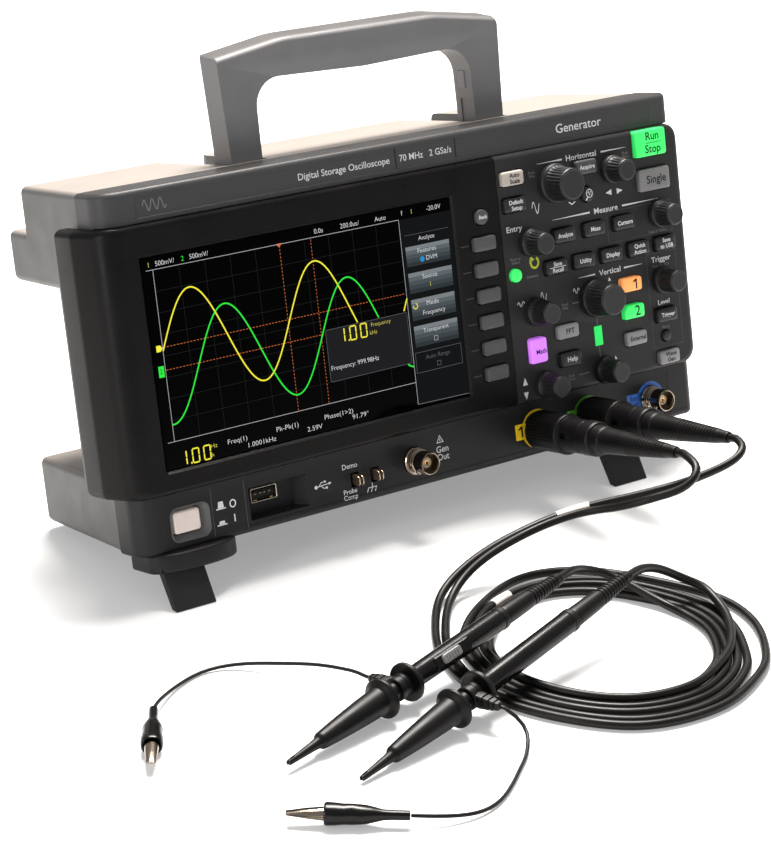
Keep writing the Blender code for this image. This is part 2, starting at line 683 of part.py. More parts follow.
def smooth_route(points, spacing):
    """Points read from a Catmull-Rom curve through the route's own points."""
    points = [Vector(p) for p in points]
    ends = [2 * points[0] - points[1], *points, 2 * points[-1] - points[-2]]
    path = []
    for a, b, c, d in zip(ends, ends[1:], ends[2:], ends[3:]):
        count = max(1, round((c - b).length / spacing))
        for i in range(count):
            t = i / count
            path.append(0.5 * (2 * b + (c - a) * t + (2 * a - 5 * b + 4 * c - d) * t ** 2
                               + (3 * b - a - 3 * c + d) * t ** 3))
    return path + [points[-1]]


def build_tube(name, points, radius, finish):
    path = smooth_route(points, 5 * radius)
    curve = bpy.data.curves.new(name, "CURVE")
    curve.dimensions = "3D"
    curve.bevel_depth = radius
    curve.bevel_resolution = 2
    curve.use_fill_caps = True
    spline = curve.splines.new("POLY")
    spline.points.add(len(path) - 1)
    for point, place in zip(spline.points, path):
        point.co = (*place, 1)
    add_object(name, curve, finish)


def aim(obj, start, end):
    """Puts obj's origin at start with its local Z towards end."""
    obj.location = start
    obj.rotation_euler = (Vector(end) - Vector(start)).to_track_quat("Z", "Y").to_euler()


def build_plug(name, x, body, finish):
    """Bayonet plug with its compensation box and cable boot. Returns where its cable starts."""
    back = HOUSING_FRONT + PLUG_END
    profile = [(0, 0.0175), (0.0052, 0.0175), (0.0052, 0.0030), (0.0078, 0.0030), (0.0078, 0.0150),
               (0.0074, 0.0160), (0.0074, 0.0390), (0.0066, 0.0390), (0.0066, 0.0425),
               (0.0050, 0.0440), (0.0024, back), (0, back)]
    add_object(name, turned(name, profile, 20), finish, body,
               location=(x, HOUSING_FRONT, CONNECTOR_Z), rotation=(math.pi / 2, 0, 0))
    return [body_to_world((x, -PLUG_END - clear, CONNECTOR_Z)) for clear in (GAP, 0.004)]


def body_to_world(point):
    x, y, z = point
    return Vector((x, math.cos(TILT) * y + math.sin(TILT) * z + BODY_SHIFT,
                   math.cos(TILT) * z - math.sin(TILT) * y + BODY_LIFT))


def build_probe(number, probe, finish):
    """Probe body and its spring-loaded hook sleeve. Returns where the ground lead starts."""
    start, tip = Vector(probe["boot_end"]), Vector(probe["tip"])
    along = (tip - start).normalized()
    profile = [(0, 0), (0.0024, 0), (0.0042, BOOT_LENGTH - 0.003), (0.0046, BOOT_LENGTH - 0.003),
               (0.0046, BOOT_LENGTH), (0.0044, FLANGE_AT), (0.0078, FLANGE_AT),
               (0.0078, FLANGE_AT + 0.002), (0.0035, FLANGE_AT + 0.003), (0.0035, 0.1190),
               (0.0021, 0.1190), (0.0021, 0.1370), (0, 0.1370)]
    body = add_object(f"probe_{number}_body", turned(f"probe_{number}_body", profile, 16), finish)
    aim(body, start, tip)
    out = body.matrix_basis.inverted().to_3x3() @ Vector(probe["arm"]).normalized()
    up = Vector((0, 0, 1))
    side = out.cross(up)
    loops = []
    for reach, half in ((0.001, 0.0026), (LEAD_ARM - 0.004, 0.0024), (LEAD_ARM, 0.0014)):
        middle = up * LEAD_AT + out * reach
        loops.append([middle + half * (a * side + b * up) for a, b in ((-1, -1), (1, -1), (1, 1), (-1, 1))])
    arm = bmesh.new()
    add_loft(arm, loops)
    combine(body, finish_mesh(f"probe_{number}_arm", arm), "UNION")

    sleeve_profile = [(0, 0.0300), (0.0027, 0.0300), (0.0027, 0.0150), (0.0041, 0.0150), (0.0041, 0),
                      (0.0080, 0), (0.0080, 0.0014), (0.0058, 0.0032), (0.0050, 0.0060),
                      (0.0030, 0.0380), (0.0016, 0.0400), (0.0011, PROBE_LENGTH - SLEEVE_AT),
                      (0, PROBE_LENGTH - SLEEVE_AT)]
    mesh = turned(f"probe_{number}_hook_sleeve", sleeve_profile, 16)
    sleeve = add_object(f"probe_{number}_hook_sleeve", mesh, finish)
    aim(sleeve, start + along * SLEEVE_AT, tip)
    arm_axis = Vector(probe["arm"]).normalized()
    return [start + along * LEAD_AT + arm_axis * (LEAD_ARM + clear) for clear in (GAP, 0.002)]


def build_clip(number, start, end, finish):
    """Alligator clip: narrow neck, pinched rubber boot, and the jaws that stand out of it."""
    sections = [(0, 0.0016, 0.0016), (0.010, 0.0019, 0.0019), (0.016, 0.0036, 0.0032),
                (0.029, 0.0042, 0.0040), (0.0305, 0.0038, 0.0034), (0.0306, 0.0024, 0.0022),
                (CLIP_LENGTH, 0.0012, 0.0010)]
    bm = bmesh.new()
    add_loft(bm, [[(a * math.cos(t * math.pi / 5), b * math.sin(t * math.pi / 5), s)
                   for t in range(10)] for s, a, b in sections])
    clip = add_object(f"ground_clip_{number}", finish_mesh(f"ground_clip_{number}", bm, True), finish)
    aim(clip, start, end)


def build_coil(finish):
    ease = 0.0015
    profile = [(COIL_INNER + ease, 0), (COIL_INNER, ease), (COIL_INNER, COIL_HEIGHT - ease),
               (COIL_INNER + ease, COIL_HEIGHT), (COIL_OUTER - ease, COIL_HEIGHT),
               (COIL_OUTER, COIL_HEIGHT - ease), (COIL_OUTER, ease), (COIL_OUTER - ease, 0)]
    bm = bmesh.new()
    verts = [bm.verts.new((r, 0, z)) for r, z in profile]
    edges = [bm.edges.new((verts[i - 1], verts[i])) for i in range(len(verts))]
    bmesh.ops.spin(bm, geom=verts + edges, cent=(0, 0, 0), axis=(0, 0, 1),
                   angle=2 * math.pi, steps=36)
    add_object("cable_coil", finish_mesh("cable_coil", bm, True), finish,
               location=(*COIL_CENTRE, 0.0001))


# ---------------------------------------------------------------------------- assembly


def main():
    for obj in list(bpy.data.objects):
        bpy.data.objects.remove(obj, do_unlink=True)

    body = bpy.data.objects.new("body", None)
    bpy.context.scene.collection.objects.link(body)
    body.rotation_euler = (-TILT, 0, 0)
    body.location = (0, BODY_SHIFT, BODY_LIFT)

    grey = material("case_grey", (0.33, 0.32, 0.31), 0.55)
    charcoal = material("charcoal", (0.045, 0.047, 0.050), 0.5)
    black = material("bezel_black", (0.012, 0.012, 0.013), 0.45)
    screen = material("screen", (0.004, 0.004, 0.005), 0.08)
    nickel = material("nickel", (0.62, 0.60, 0.56), 0.25, 1.0)
    brass = material("brass", (0.60, 0.50, 0.38), 0.3, 1.0)
    rubber = material("rubber_black", (0.010, 0.010, 0.011), 0.5)
    key_dark = material("key_dark", (0.022, 0.022, 0.024), 0.5)
    key_grey = material("key_grey", (0.33, 0.33, 0.34), 0.5)
    key_soft = material("softkey_grey", (0.075, 0.077, 0.080), 0.5)
    key_white = material("key_white", (0.80, 0.74, 0.71), 0.5)
    green = material("key_green", (0.04, 0.85, 0.18), 0.4)
    orange = material("key_orange", (0.95, 0.38, 0.12), 0.4)
    violet = material("key_violet", (0.58, 0.22, 0.90), 0.4)

    build_rear_case(body, grey)
    build_front_housing(body, charcoal)
    build_faces(body, black, charcoal)
    build_display(body, screen)
    build_ports(body, nickel, key_dark, brass)
    for name, x in SOCKETS.items():
        build_socket(f"bnc_{name}", x, body, nickel)

    finishes = {
        "softkeys": key_soft, "auto_scale_key": key_white, "run_stop_key": green,
        "single_key": key_grey, "intensity_key": green, "channel_1_key": orange,
        "channel_2_key": green, "fft_key": key_grey, "math_key": violet,
        "external_key": key_grey, "generator_key": key_grey,
    }
    for name, cells in key_cells({**DISPLAY_KEYS, **PANEL_KEYS}).items():
        build_key(name, cells, body, finishes.get(name, key_dark))
    build_key("power_button", [POWER_KEY], body, key_white, front=HOUSING_FRONT)
    for name, place in BIG_KNOBS.items():
        build_knob(name, place, BIG_BASE, BIG_FACE, BIG_PROUD, body, key_dark)
    for name, place in SMALL_KNOBS.items():
        build_knob(name, place, SMALL_BASE, SMALL_FACE, SMALL_PROUD, body, key_dark)

    build_handle(body, grey)
    for side, x in LEGS.items():
        build_leg(f"tilt_leg_{side}", x, body, black)

    build_coil(rubber)
    for number, probe in PROBES.items():
        cable_start = build_plug(f"probe_{number}_plug", SOCKETS[probe["socket"]], body, rubber)
        build_tube(f"probe_{number}_cable", [*cable_start, *probe["route"]], CABLE_R, rubber)
        lead_start = build_probe(number, probe, rubber)
        boot_end = Vector(probe["boot_end"])
        back = (boot_end - Vector(probe["tip"])).normalized()
        tail_start = [boot_end + back * clear for clear in (GAP, 0.004)]
        build_tube(f"probe_{number}_tail", tail_start + probe["tail"], CABLE_R, rubber)
        clip_start, clip_end = probe["clip"]
        build_clip(number, clip_start, clip_end, nickel)
        near_clip = Vector(clip_start) - (Vector(clip_end) - Vector(clip_start)).normalized() * GAP
        build_tube(f"ground_lead_{number}", [*lead_start, *probe["lead"], near_clip], LEAD_R, rubber)


main()
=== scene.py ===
"""Looks for the two-channel bench oscilloscope with its built-in generator and its two probes.

Lengths are in millimetres in the body's own frame (x right, y back from the display's face, z up
from the underside) and are turned into metres as each mesh is made. Probes and cords use the
row frame, also in millimetres.
"""
import math

import bmesh
import bpy
from mathutils import Matrix, Vector


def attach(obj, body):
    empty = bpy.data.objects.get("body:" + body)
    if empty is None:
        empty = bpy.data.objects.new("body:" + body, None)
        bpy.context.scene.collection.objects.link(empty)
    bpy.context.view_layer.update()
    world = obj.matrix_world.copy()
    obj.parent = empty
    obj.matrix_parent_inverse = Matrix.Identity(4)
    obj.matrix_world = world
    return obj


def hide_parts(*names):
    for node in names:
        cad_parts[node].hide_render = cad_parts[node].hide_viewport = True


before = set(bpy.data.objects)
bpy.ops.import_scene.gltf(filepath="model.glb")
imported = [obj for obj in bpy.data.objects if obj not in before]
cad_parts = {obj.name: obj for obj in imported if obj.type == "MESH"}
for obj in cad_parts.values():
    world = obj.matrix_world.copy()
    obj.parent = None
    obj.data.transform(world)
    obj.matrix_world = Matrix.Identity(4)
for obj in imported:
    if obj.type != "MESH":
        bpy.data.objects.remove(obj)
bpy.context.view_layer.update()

scene = bpy.context.scene
for leftover in ("Cube", "Light", "Camera"):
    if leftover in bpy.data.objects:
        bpy.data.objects.remove(bpy.data.objects[leftover])

MM = 0.001
TILT = math.radians(10.5)
BODY = Matrix.Translation((0, -0.0571, 0.02095)) @ Matrix.Rotation(-TILT, 4, "X")
ROOT = "instrument"


def on_body(x, y, z):
    """A point of the body's frame, in the row frame, both in millimetres."""
    return (BODY @ (Vector((x, y, z)) * MM)) / MM


# ---------------------------------------------------------------------------- materials


def linear(value):
    """Linear light from a screen value of 0 to 255."""
    value /= 255
    return value / 12.92 if value <= 0.04045 else ((value + 0.055) / 1.055) ** 2.4


def tone(*rgb):
    """A linear colour from 0 to 255 screen values."""
    return tuple(linear(c) for c in rgb)


def material(name, colour, rough=0.5, metallic=0.0, specular=0.3, grain=0.4, bump=0.2,
             mottle=0.08, patch=14.0, spread=0.06, glow=0.0, streak=None, painted_edge_highlight=0.0,
             painted_top_shading=None, rise=None):
    """Procedural finish. grain and patch are feature sizes in millimetres; colour is linear.
    crown is the colour of faces that look up, painted light and shade on the tops; rise (colour,
    z0, z1) one that comes with height, painted light; wear lightens convex edges, painted
    highlights.
    """
    made = bpy.data.materials.new(name)
    made.use_nodes = True
    nodes, links = made.node_tree.nodes, made.node_tree.links

    def fill(target, values):
        """Sets inputs by name, with _ for a space, from values or other nodes' outputs."""
        for key, value in values.items():
            socket = target.inputs[key.replace("_", " ")]
            if isinstance(value, bpy.types.NodeSocket):
                links.new(value, socket)
            else:
                socket.default_value = value

    def node(kind, output, **values):
        """Makes a node, sets its inputs and gives one of its outputs."""
        new = nodes.new(f"ShaderNode{kind}")
        if kind == "Mix":
            new.data_type = "RGBA"
        fill(new, values)
        return new.outputs[output]

    def patchy(low, high):
        """A value that wanders between low and high with the broad noise."""
        return node("MapRange", "Result", Value=broad, From_Min=0.3, From_Max=0.7, To_Min=low,
                    To_Max=high)

    where = node("TexCoord", "Object")
    if streak:
        where = node("Mapping", "Vector", Vector=where, Scale=streak)
    fine, broad = (node("TexNoise", "Fac", Vector=where, Scale=1 / (size * MM), Detail=detail)
                   for size, detail in ((grain, 2.0), (patch, 4.0)))
    shade = node("Mix", "Result", Factor=patchy(0, 1), A=(*(c * (1 - mottle) for c in colour), 1),
                 B=(*(min(1, c * (1 + mottle)) for c in colour), 1))
    # rise: painted light, a colour blended in with height.
    blends = [("Object", rise[1] * MM, rise[2] * MM, rise[0])] if rise else []
    # Painted light and shade: faces that look up blend towards another colour.
    if painted_top_shading:
        blends.append(("Normal", 0.55, 0.97, painted_top_shading))
    for source, low, high, other in blends:
        height = node("SeparateXYZ", "Z", Vector=node("TexCoord", source))
        share = node("MapRange", "Result", Value=height, From_Min=low, From_Max=high)
        shade = node("Mix", "Result", Factor=share, A=shade, B=(*other, 1))
    # Painted edge highlights: convex edges lightened.
    if painted_edge_highlight:
        lit_edges = node("MapRange", "Result", Value=node("NewGeometry", "Pointiness"),
                      From_Min=0.53, From_Max=0.60, To_Max=painted_edge_highlight)
        shade = node("Mix", "Result", Factor=lit_edges, A=shade,
                     B=(*(min(1, c * 1.6 + 0.02) for c in colour), 1))
    surface = {"Metallic": metallic, "Specular IOR Level": specular, "Base Color": shade,
               "Roughness": patchy(max(0.03, rough - spread), rough + spread)}
    if bump:
        surface["Normal"] = node("Bump", "Normal", Strength=bump, Distance=grain * MM * 0.25,
                                 Height=fine)
    if glow:
        surface |= {"Emission Color": (*colour, 1), "Emission Strength": glow}
    fill(nodes["Principled BSDF"], surface)
    return made


# Finishes below with an edge amount get painted highlights on their convex edges.
CAST = dict(specular=0.35, grain=0.45, mottle=0.05)
KEY = dict(rough=0.45, specular=0.35, grain=0.3)
LIT_KEY = dict(rough=0.4, specular=0.35, grain=0.3, bump=0.15, mottle=0.03)
METAL = dict(metallic=1.0, grain=0.3)
TAG = dict(rough=0.45, grain=0.3, bump=0.15)
INK = dict(rough=0.55, specular=0.2, grain=0.2)

# The case's tops are painted lighter and warmer than its sides: painted light from above.
CASE = material("case_grey", tone(76, 76, 75), 0.52, bump=0.5, painted_edge_highlight=0.2,
                painted_top_shading=tone(128, 121, 114), **CAST)
# The handle's top is painted darker than its front: painted shade.
HANDLE = material("handle_grey", tone(107, 107, 108), 0.48, bump=0.45, painted_edge_highlight=0.25,
                  painted_top_shading=tone(60, 58, 56), **CAST)
# Front frame: painted light makes it lighter towards the top, over z 70 to 140, and painted shade
# darkens its tops.
CHARCOAL = material("charcoal", tone(29, 29, 30), 0.38, specular=0.16, grain=0.35, bump=0.45,
                    mottle=0.06, painted_edge_highlight=0.3, rise=(tone(64, 64, 65), 70, 140), painted_top_shading=tone(38, 36, 35))
PANEL = material("panel_charcoal", tone(40, 40, 41), 0.46, specular=0.16, grain=0.3, bump=0.35,
                 mottle=0.05, painted_edge_highlight=0.25)
BEZEL = material("bezel_black", tone(15, 14, 14), 0.31, specular=0.11, grain=0.35, bump=0.5,
                 mottle=0.07, painted_edge_highlight=0.2)
LEG = material("leg_black", tone(37, 37, 38), 0.5, specular=0.14, grain=0.35, bump=0.5, painted_edge_highlight=0.3)
KEY_DARK = material("key_dark", tone(32, 32, 34), 0.42, specular=0.3, grain=0.3, bump=0.25,
                    painted_edge_highlight=0.3)
KEY_SOFT = material("key_soft", tone(72, 73, 75), 0.45, specular=0.3, grain=0.3, bump=0.25)
KEY_GREY = material("key_grey", tone(128, 128, 130), **KEY)
KEY_SINGLE = material("key_single", tone(118, 118, 119), **KEY)
KEY_PALE = material("key_pale", tone(176, 168, 160), **KEY)
KEY_WHITE = material("key_white", tone(206, 194, 187), glow=0.08, **KEY)
KEY_GREEN = material("key_green", tone(56, 226, 104), glow=0.42, **LIT_KEY)
KEY_ORANGE = material("key_orange", tone(246, 160, 92), glow=0.45, **LIT_KEY)
KEY_VIOLET = material("key_violet", tone(206, 122, 240), glow=0.5, **LIT_KEY)
KNOB = material("knob_black", tone(26, 26, 28), 0.42, specular=0.35, grain=0.25, bump=0.3, painted_edge_highlight=0.4)
KNOB_FACE = material("knob_face", tone(46, 46, 48), 0.42, specular=0.3, grain=0.25, bump=0.25)
RUBBER = material("rubber_black", tone(13, 12, 12), 0.42, specular=0.16, grain=0.25, bump=0.35,
                  mottle=0.1, painted_edge_highlight=0.3)
CABLE = material("cable_jacket", tone(15, 13, 12), 0.38, specular=0.2, grain=0.5, bump=0.2,
                 mottle=0.12)
GLOSS = material("gloss_black", tone(12, 11, 11), 0.26, specular=0.2, grain=1.2, bump=0.04,
                 mottle=0.05, spread=0.04)
SLIDER = material("slider_grey", tone(120, 119, 120), 0.4, grain=0.3)
NICKEL = material("nickel", tone(205, 200, 192), 0.17, bump=0.08, mottle=0.05, spread=0.05,
                  streak=(1, 1, 14), **METAL)
# Darker and browner than bare nickel: painted reflection of dark surroundings.
PLATING = material("bnc_plating", tone(150, 138, 124), 0.16, bump=0.08, **METAL)
STEEL = material("stamped_steel", tone(178, 172, 164), 0.3, bump=0.12, **METAL)
BRASS = material("plated_brass", tone(214, 176, 122), 0.24, bump=0.1, **METAL)
COPPER = material("terminal_metal", tone(204, 184, 162), 0.34, bump=0.12, **METAL)
INSULATOR = material("insulator", tone(196, 180, 150), 0.4, specular=0.4, grain=0.3)
# Lighter grey for the walls of the power key's well: painted light on the lit walls.
WELL_LIGHT = material("pocket_grey", tone(84, 84, 85), 0.42, specular=0.2, grain=0.3, bump=0.3)
DEEP = material("deep_black", tone(8, 8, 8), 0.6, specular=0.15)
GLASS = material("display_glass", tone(2, 2, 3), 0.07, specular=0.025, grain=2.0, bump=0.0,
                 mottle=0.02, spread=0.02)
SLEEVE_WHITE = material("marker_sleeve", tone(226, 215, 207), 0.35, specular=0.4, grain=0.4)
YELLOW = material("tag_yellow", tone(226, 190, 26), **TAG)
LIME = material("tag_green", tone(78, 150, 44), **TAG)
BLUE = material("tag_blue", tone(46, 96, 176), **TAG)
PRINT = material("print_white", tone(206, 207, 208), mottle=0.04, **INK)
PRINT_DIM = material("print_grey", tone(112, 113, 115), **INK)
PRINT_LINE = material("print_line", tone(74, 74, 76), **INK)
PRINT_DARK = material("print_dark", tone(16, 18, 18), **INK)
PRINT_LIME = material("print_lime", tone(176, 186, 50), **INK)
LED_GREEN = material("led_green", tone(30, 214, 92), 0.35, grain=0.3, mottle=0.03, glow=0.5)


def lit(name, colour):
    """A display colour: mostly its own light, over a dark base."""
    made = material(name, tuple(c * 0.2 for c in colour), 0.3, specular=0.0, bump=0.0, mottle=0.02)
    shader = made.node_tree.nodes["Principled BSDF"]
    shader.inputs["Emission Color"].default_value = (*colour, 1)
    shader.inputs["Emission Strength"].default_value = 1.0
    return made


SCREEN = {name: lit(f"screen_{name}", tone(*rgb)) for name, rgb in {
    "white": (206, 206, 208), "frame": (160, 161, 164), "grid": (36, 37, 38),
    "yellow": (232, 224, 62), "dim_yellow": (196, 188, 84), "green": (46, 222, 62),
    "orange": (196, 102, 54), "box": (29, 29, 31), "menu": (19, 20, 21), "key_0": (112, 119, 122),
    "key_1": (84, 92, 96), "key_2": (68, 76, 80), "key_3": (56, 63, 67), "key_4": (44, 50, 53),
    "line": (96, 98, 102), "blue": (34, 132, 196), "dim": (84, 86, 90)}.items()}

# ---------------------------------------------------------------------------- mesh helpers


def rounded(corners, steps=6):
    """Outline through (u, v, radius) corners, each corner an arc of its radius."""
    points = []
    for i, (u, v, radius) in enumerate(corners):
        here = Vector((u, v))
        if not radius:
            points.append(here)
            continue
        before = (Vector(corners[i - 1][:2]) - here).normalized()
        after = (Vector(corners[(i + 1) % len(corners)][:2]) - here).normalized()
        half = before.angle(after) / 2
        centre = here + (before + after).normalized() * radius / math.sin(half)
        first = here + before * radius / math.tan(half) - centre
        sweep = first.angle_signed(here + after * radius / math.tan(half) - centre)
        for k in range(steps + 1):
            angle = -sweep * k / steps
            points.append(centre + Vector((first.x * math.cos(angle) - first.y * math.sin(angle),
                                           first.x * math.sin(angle) + first.y * math.cos(angle))))
    return points


def rectangle(cx, cz, width, height, radius=0.0, steps=4):
    """A rectangle about (cx, cz), with its corners rounded."""
    u, v = width / 2, height / 2
    return rounded([(cx - u, cz - v, radius), (cx + u, cz - v, radius), (cx + u, cz + v, radius),
                    (cx - u, cz + v, radius)], steps)


def circle(cx, cz, radius, steps=32):
    """Points of a circle."""
    turn = 2 * math.pi / steps
    return [Vector((cx + radius * math.cos(i * turn), cz + radius * math.sin(i * turn)))
            for i in range(steps)]


def arc(cx, cz, across, up, degrees):
    """Points of an ellipse with radii across and up, at angles in degrees."""
    return [(cx + across * math.cos(t), cz + up * math.sin(t)) for t in map(math.radians, degrees)]


def ring(cx, cz, across, up, steps):
    """A whole ellipse of as many points as steps."""
    return arc(cx, cz, across, up, [360 * i / steps for i in range(steps)])


def loft(bm, loops, caps=True):
    """Skins closed loops of points, one after the other."""
    rings = [[bm.verts.new(p) for p in loop] for loop in loops]
    for ring, following in zip(rings, rings[1:]):
        for i, vert in enumerate(ring):
            j = (i + 1) % len(ring)
            bm.faces.new((vert, ring[j], following[j], following[i]))
    if caps:
        bm.faces.new(rings[0])
        bm.faces.new(rings[-1])
    return bm


def prism(bm, outline, axis, start, end):
    """Pulls an outline along an axis."""
    place = {"x": lambda w, p: (w, p[0], p[1]), "y": lambda w, p: (p[0], w, p[1]),
             "z": lambda w, p: (p[0], p[1], w)}[axis]
    return loft(bm, [[place(w, p) for p in outline] for w in (start, end)])


def box(bm, low, high):
    """A box between two corners."""
    outline = [(low[0], low[1]), (high[0], low[1]), (high[0], high[1]), (low[0], high[1])]
    return prism(bm, outline, "z", low[2], high[2])


def both_sides(bm, inner, outer, low, high):
    """Boxes left and right, from inner to outer off the middle; low and high are (y, z)."""
    for sign in (-1, 1):
        left, right = sorted((sign * inner, sign * outer))
        box(bm, (left, *low), (right, *high))


def at(y, outline):
    """An outline stood up in the plane at y."""
    return [(p.x, y, p.y) for p in outline]


def stepped(bm, x, z, sections, steps=3):
    """Lofts rectangles about (x, z) through (y, width, height, radius) sections."""
    return loft(bm, [at(y, rectangle(x, z, w, h, r, steps)) for y, w, h, r in sections])


def lathe(bm, profile, steps=48, shape=None):
    """Turns (radius, z) points about z. shape(angle, radius, z) may change each point's radius."""
    loops = []
    for radius, z in profile:
        ring = []
        for i in range(steps):
            angle = 2 * math.pi * i / steps
            r = max(shape(angle, radius, z) if shape else radius, 0.001)
            ring.append((r * math.cos(angle), r * math.sin(angle), z))
        loops.append(ring)
    return loft(bm, loops)


def placed(name, bm, place, finish=None):
    """Puts a mesh in millimetres into the scene as an object."""
    bmesh.ops.scale(bm, vec=(MM, MM, MM), verts=bm.verts)
    mesh = bpy.data.meshes.new(name)
    bm.to_mesh(mesh)
    bm.free()
    if finish:
        mesh.materials.append(finish)
    obj = bpy.data.objects.new(name, mesh)
    scene.collection.objects.link(obj)
    obj.matrix_world = place
    return obj


def add(name, bm, finish, body=ROOT, place=BODY, edge=0.0, segments=3, sharp=32):
    """Makes the piece from a mesh in millimetres, puts it in place and lets it ride."""
    bmesh.ops.recalc_face_normals(bm, faces=bm.faces)
    obj = placed(name, bm, place, finish)
    if edge:
        ease(obj, edge, segments)
    smooth(obj, sharp)
    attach(obj, body)
    return obj


def turned(name, profile, steps, finish, body=ROOT, place=BODY, sharp=32, shape=None):
    """A piece lathed about its local z."""
    return add(name, lathe(bmesh.new(), profile, steps, shape), finish, body, place,
               sharp=sharp)


def ease(obj, width, segments=3, limit=38):
    """Rounds the edges that turn by more than limit degrees."""
    eased = obj.modifiers.new("edges", "BEVEL")
    eased.width = width * MM
    eased.segments = segments
    eased.limit_method = "ANGLE"
    eased.angle_limit = math.radians(limit)
    bake(obj)


def bake(obj):
    """Applies the modifiers that are on the object, but for its normals."""
    if "normals" in obj.modifiers:
        obj.modifiers.remove(obj.modifiers["normals"])
    bpy.context.view_layer.update()
    made = bpy.data.meshes.new_from_object(obj.evaluated_get(bpy.context.evaluated_depsgraph_get()))
    obj.modifiers.clear()
    obj.data = made


def smooth(obj, sharp):
    """Smooth shading with weighted normals, broken at edges over sharp degrees."""
    obj.data.shade_smooth()
    obj.data.set_sharp_from_angle(angle=math.radians(sharp))
    if "normals" not in obj.modifiers:
        obj.modifiers.new("normals", "WEIGHTED_NORMAL").keep_sharp = True


def cut(obj, bm, operation="DIFFERENCE", sharp=32):
    """Boolean with a mesh in millimetres in the object's own frame."""
    bmesh.ops.recalc_face_normals(bm, faces=bm.faces)
    tool = placed("tool", bm, obj.matrix_world)
    modifier = obj.modifiers.new("cut", "BOOLEAN")
    modifier.operation = operation
    modifier.solver = "EXACT"
    modifier.use_self = True
    modifier.object = tool
    bake(obj)
    bpy.data.objects.remove(tool)
    smooth(obj, sharp)


def outward(x, z, y=0.0):
    """Placement whose local z leaves the front face at (x, z), for turned pieces."""
    return BODY @ Matrix.Translation(Vector((x, y, z)) * MM) @ Matrix.Rotation(math.pi / 2, 4, "X")


def aimed(start, end):
    """Placement at start with local z towards end, both in millimetres in the row frame."""
    turn = (Vector(end) - Vector(start)).to_track_quat("Z", "Y").to_matrix().to_4x4()
    return Matrix.Translation(Vector(start) * MM) @ turn


# ---------------------------------------------------------------------------- lettering


class Lettering:
    """Collects flat text, lines and shapes on a face at y, merged into one mesh a colour."""

    def __init__(self, name, body=ROOT, lift=0.06, slot="charcoal", y=0.0):
        self.name, self.body, self.lift, self.slot, self.y = name, body, lift, slot, y
        self.layers = {}

    def layer(self, finish):
        """The mesh of one colour."""
        return self.layers.setdefault(finish.name, (finish, bmesh.new()))[1]

    def text(self, words, x, z, size, finish, wide=0.84, bold=0.012, align="CENTER"):
        """size is the height of a capital."""
        curve = bpy.data.curves.new("text", "FONT")
        curve.body = words
        curve.size = size / 0.72
        curve.align_x = align
        curve.align_y = "CENTER"
        curve.offset = bold
        curve.resolution_u = 3
        curve.space_line = 0.86
        maker = bpy.data.objects.new("text", curve)
        scene.collection.objects.link(maker)
        bpy.context.view_layer.update()
        mesh = bpy.data.meshes.new_from_object(maker)
        bpy.data.objects.remove(maker)
        mesh.transform(Matrix.Translation((x, self.y - self.lift, z))
                       @ Matrix.Rotation(math.pi / 2, 4, "X") @ Matrix.Diagonal((wide, 1, 1, 1)))
        self.layer(finish).from_mesh(mesh)
        bpy.data.meshes.remove(mesh)

    def one(self, x, z, size, finish):
        """A figure 1 with its flag, which the font doesn't draw."""
        points = [(0.1, -0.5), (0.28, -0.5), (0.28, 0.5), (0.13, 0.5), (-0.2, 0.3), (-0.2, 0.16),
                  (0.1, 0.26)]
        self.shape([(x + u * size, z + v * size) for u, v in points], finish)

    def shape(self, points, finish, nudge=0.0):
        """A filled outline; nudge puts it further back, or forward if it is negative."""
        bm = self.layer(finish)
        y = self.y - self.lift + nudge
        bm.faces.new([bm.verts.new((p[0], y, p[1])) for p in points])

    def line(self, points, width, finish, end_width=None, closed=False):
        """Polyline of one width, or tapering to end_width."""
        bm = self.layer(finish)
        points = [Vector(p) for p in points]
        last = len(points) - 1
        rows = []
        for i, p in enumerate(points):
            if closed:
                before, after = points[i - 1], points[(i + 1) % len(points)]
            else:
                before, after = points[max(i - 1, 0)], points[min(i + 1, last)]
            first, second = (p - before), (after - p)
            first = first.normalized() if first.length else second.normalized()
            second = second.normalized() if second.length else first
            normal = Vector((-(first + second).y, (first + second).x)).normalized()
            stretch = 1 / max(0.5, normal.dot(Vector((-first.y, first.x))))
            here = width if end_width is None else width + (end_width - width) * i / max(last, 1)
            half = normal * here / 2 * stretch
            rows.append([bm.verts.new((q.x, self.y - self.lift, q.y))
                         for q in (p + half, p - half)])
        if closed:
            rows.append(rows[0])
        for a, b in zip(rows, rows[1:]):
            bm.faces.new((a[0], b[0], b[1], a[1]))

    def done(self):
        """Makes a piece of each colour."""
        for finish, bm in self.layers.values():
            bmesh.ops.dissolve_degenerate(bm, dist=1e-5, edges=bm.edges)
            bm.normal_update()
            bmesh.ops.reverse_faces(bm, faces=[f for f in bm.faces if f.normal.y > 0])
            obj = placed(f"{self.name}_{finish.name}", bm, BODY, finish)
            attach(obj, self.body)


# ---------------------------------------------------------------------------- camera

camera_data = bpy.data.cameras.new("view")
camera_data.sensor_width = 36
camera_data.lens = 113.78  # fitted, with the place and direction, to the photograph
camera = bpy.data.objects.new("view", camera_data)
camera.location = (-0.66366, -0.91849, 0.44953)
camera.rotation_euler = Vector((0.5553, 0.7561, -0.3463)).to_track_quat("-Z", "Y").to_euler()
scene.collection.objects.link(camera)
scene.camera = camera

# ---------------------------------------------------------------------------- cords

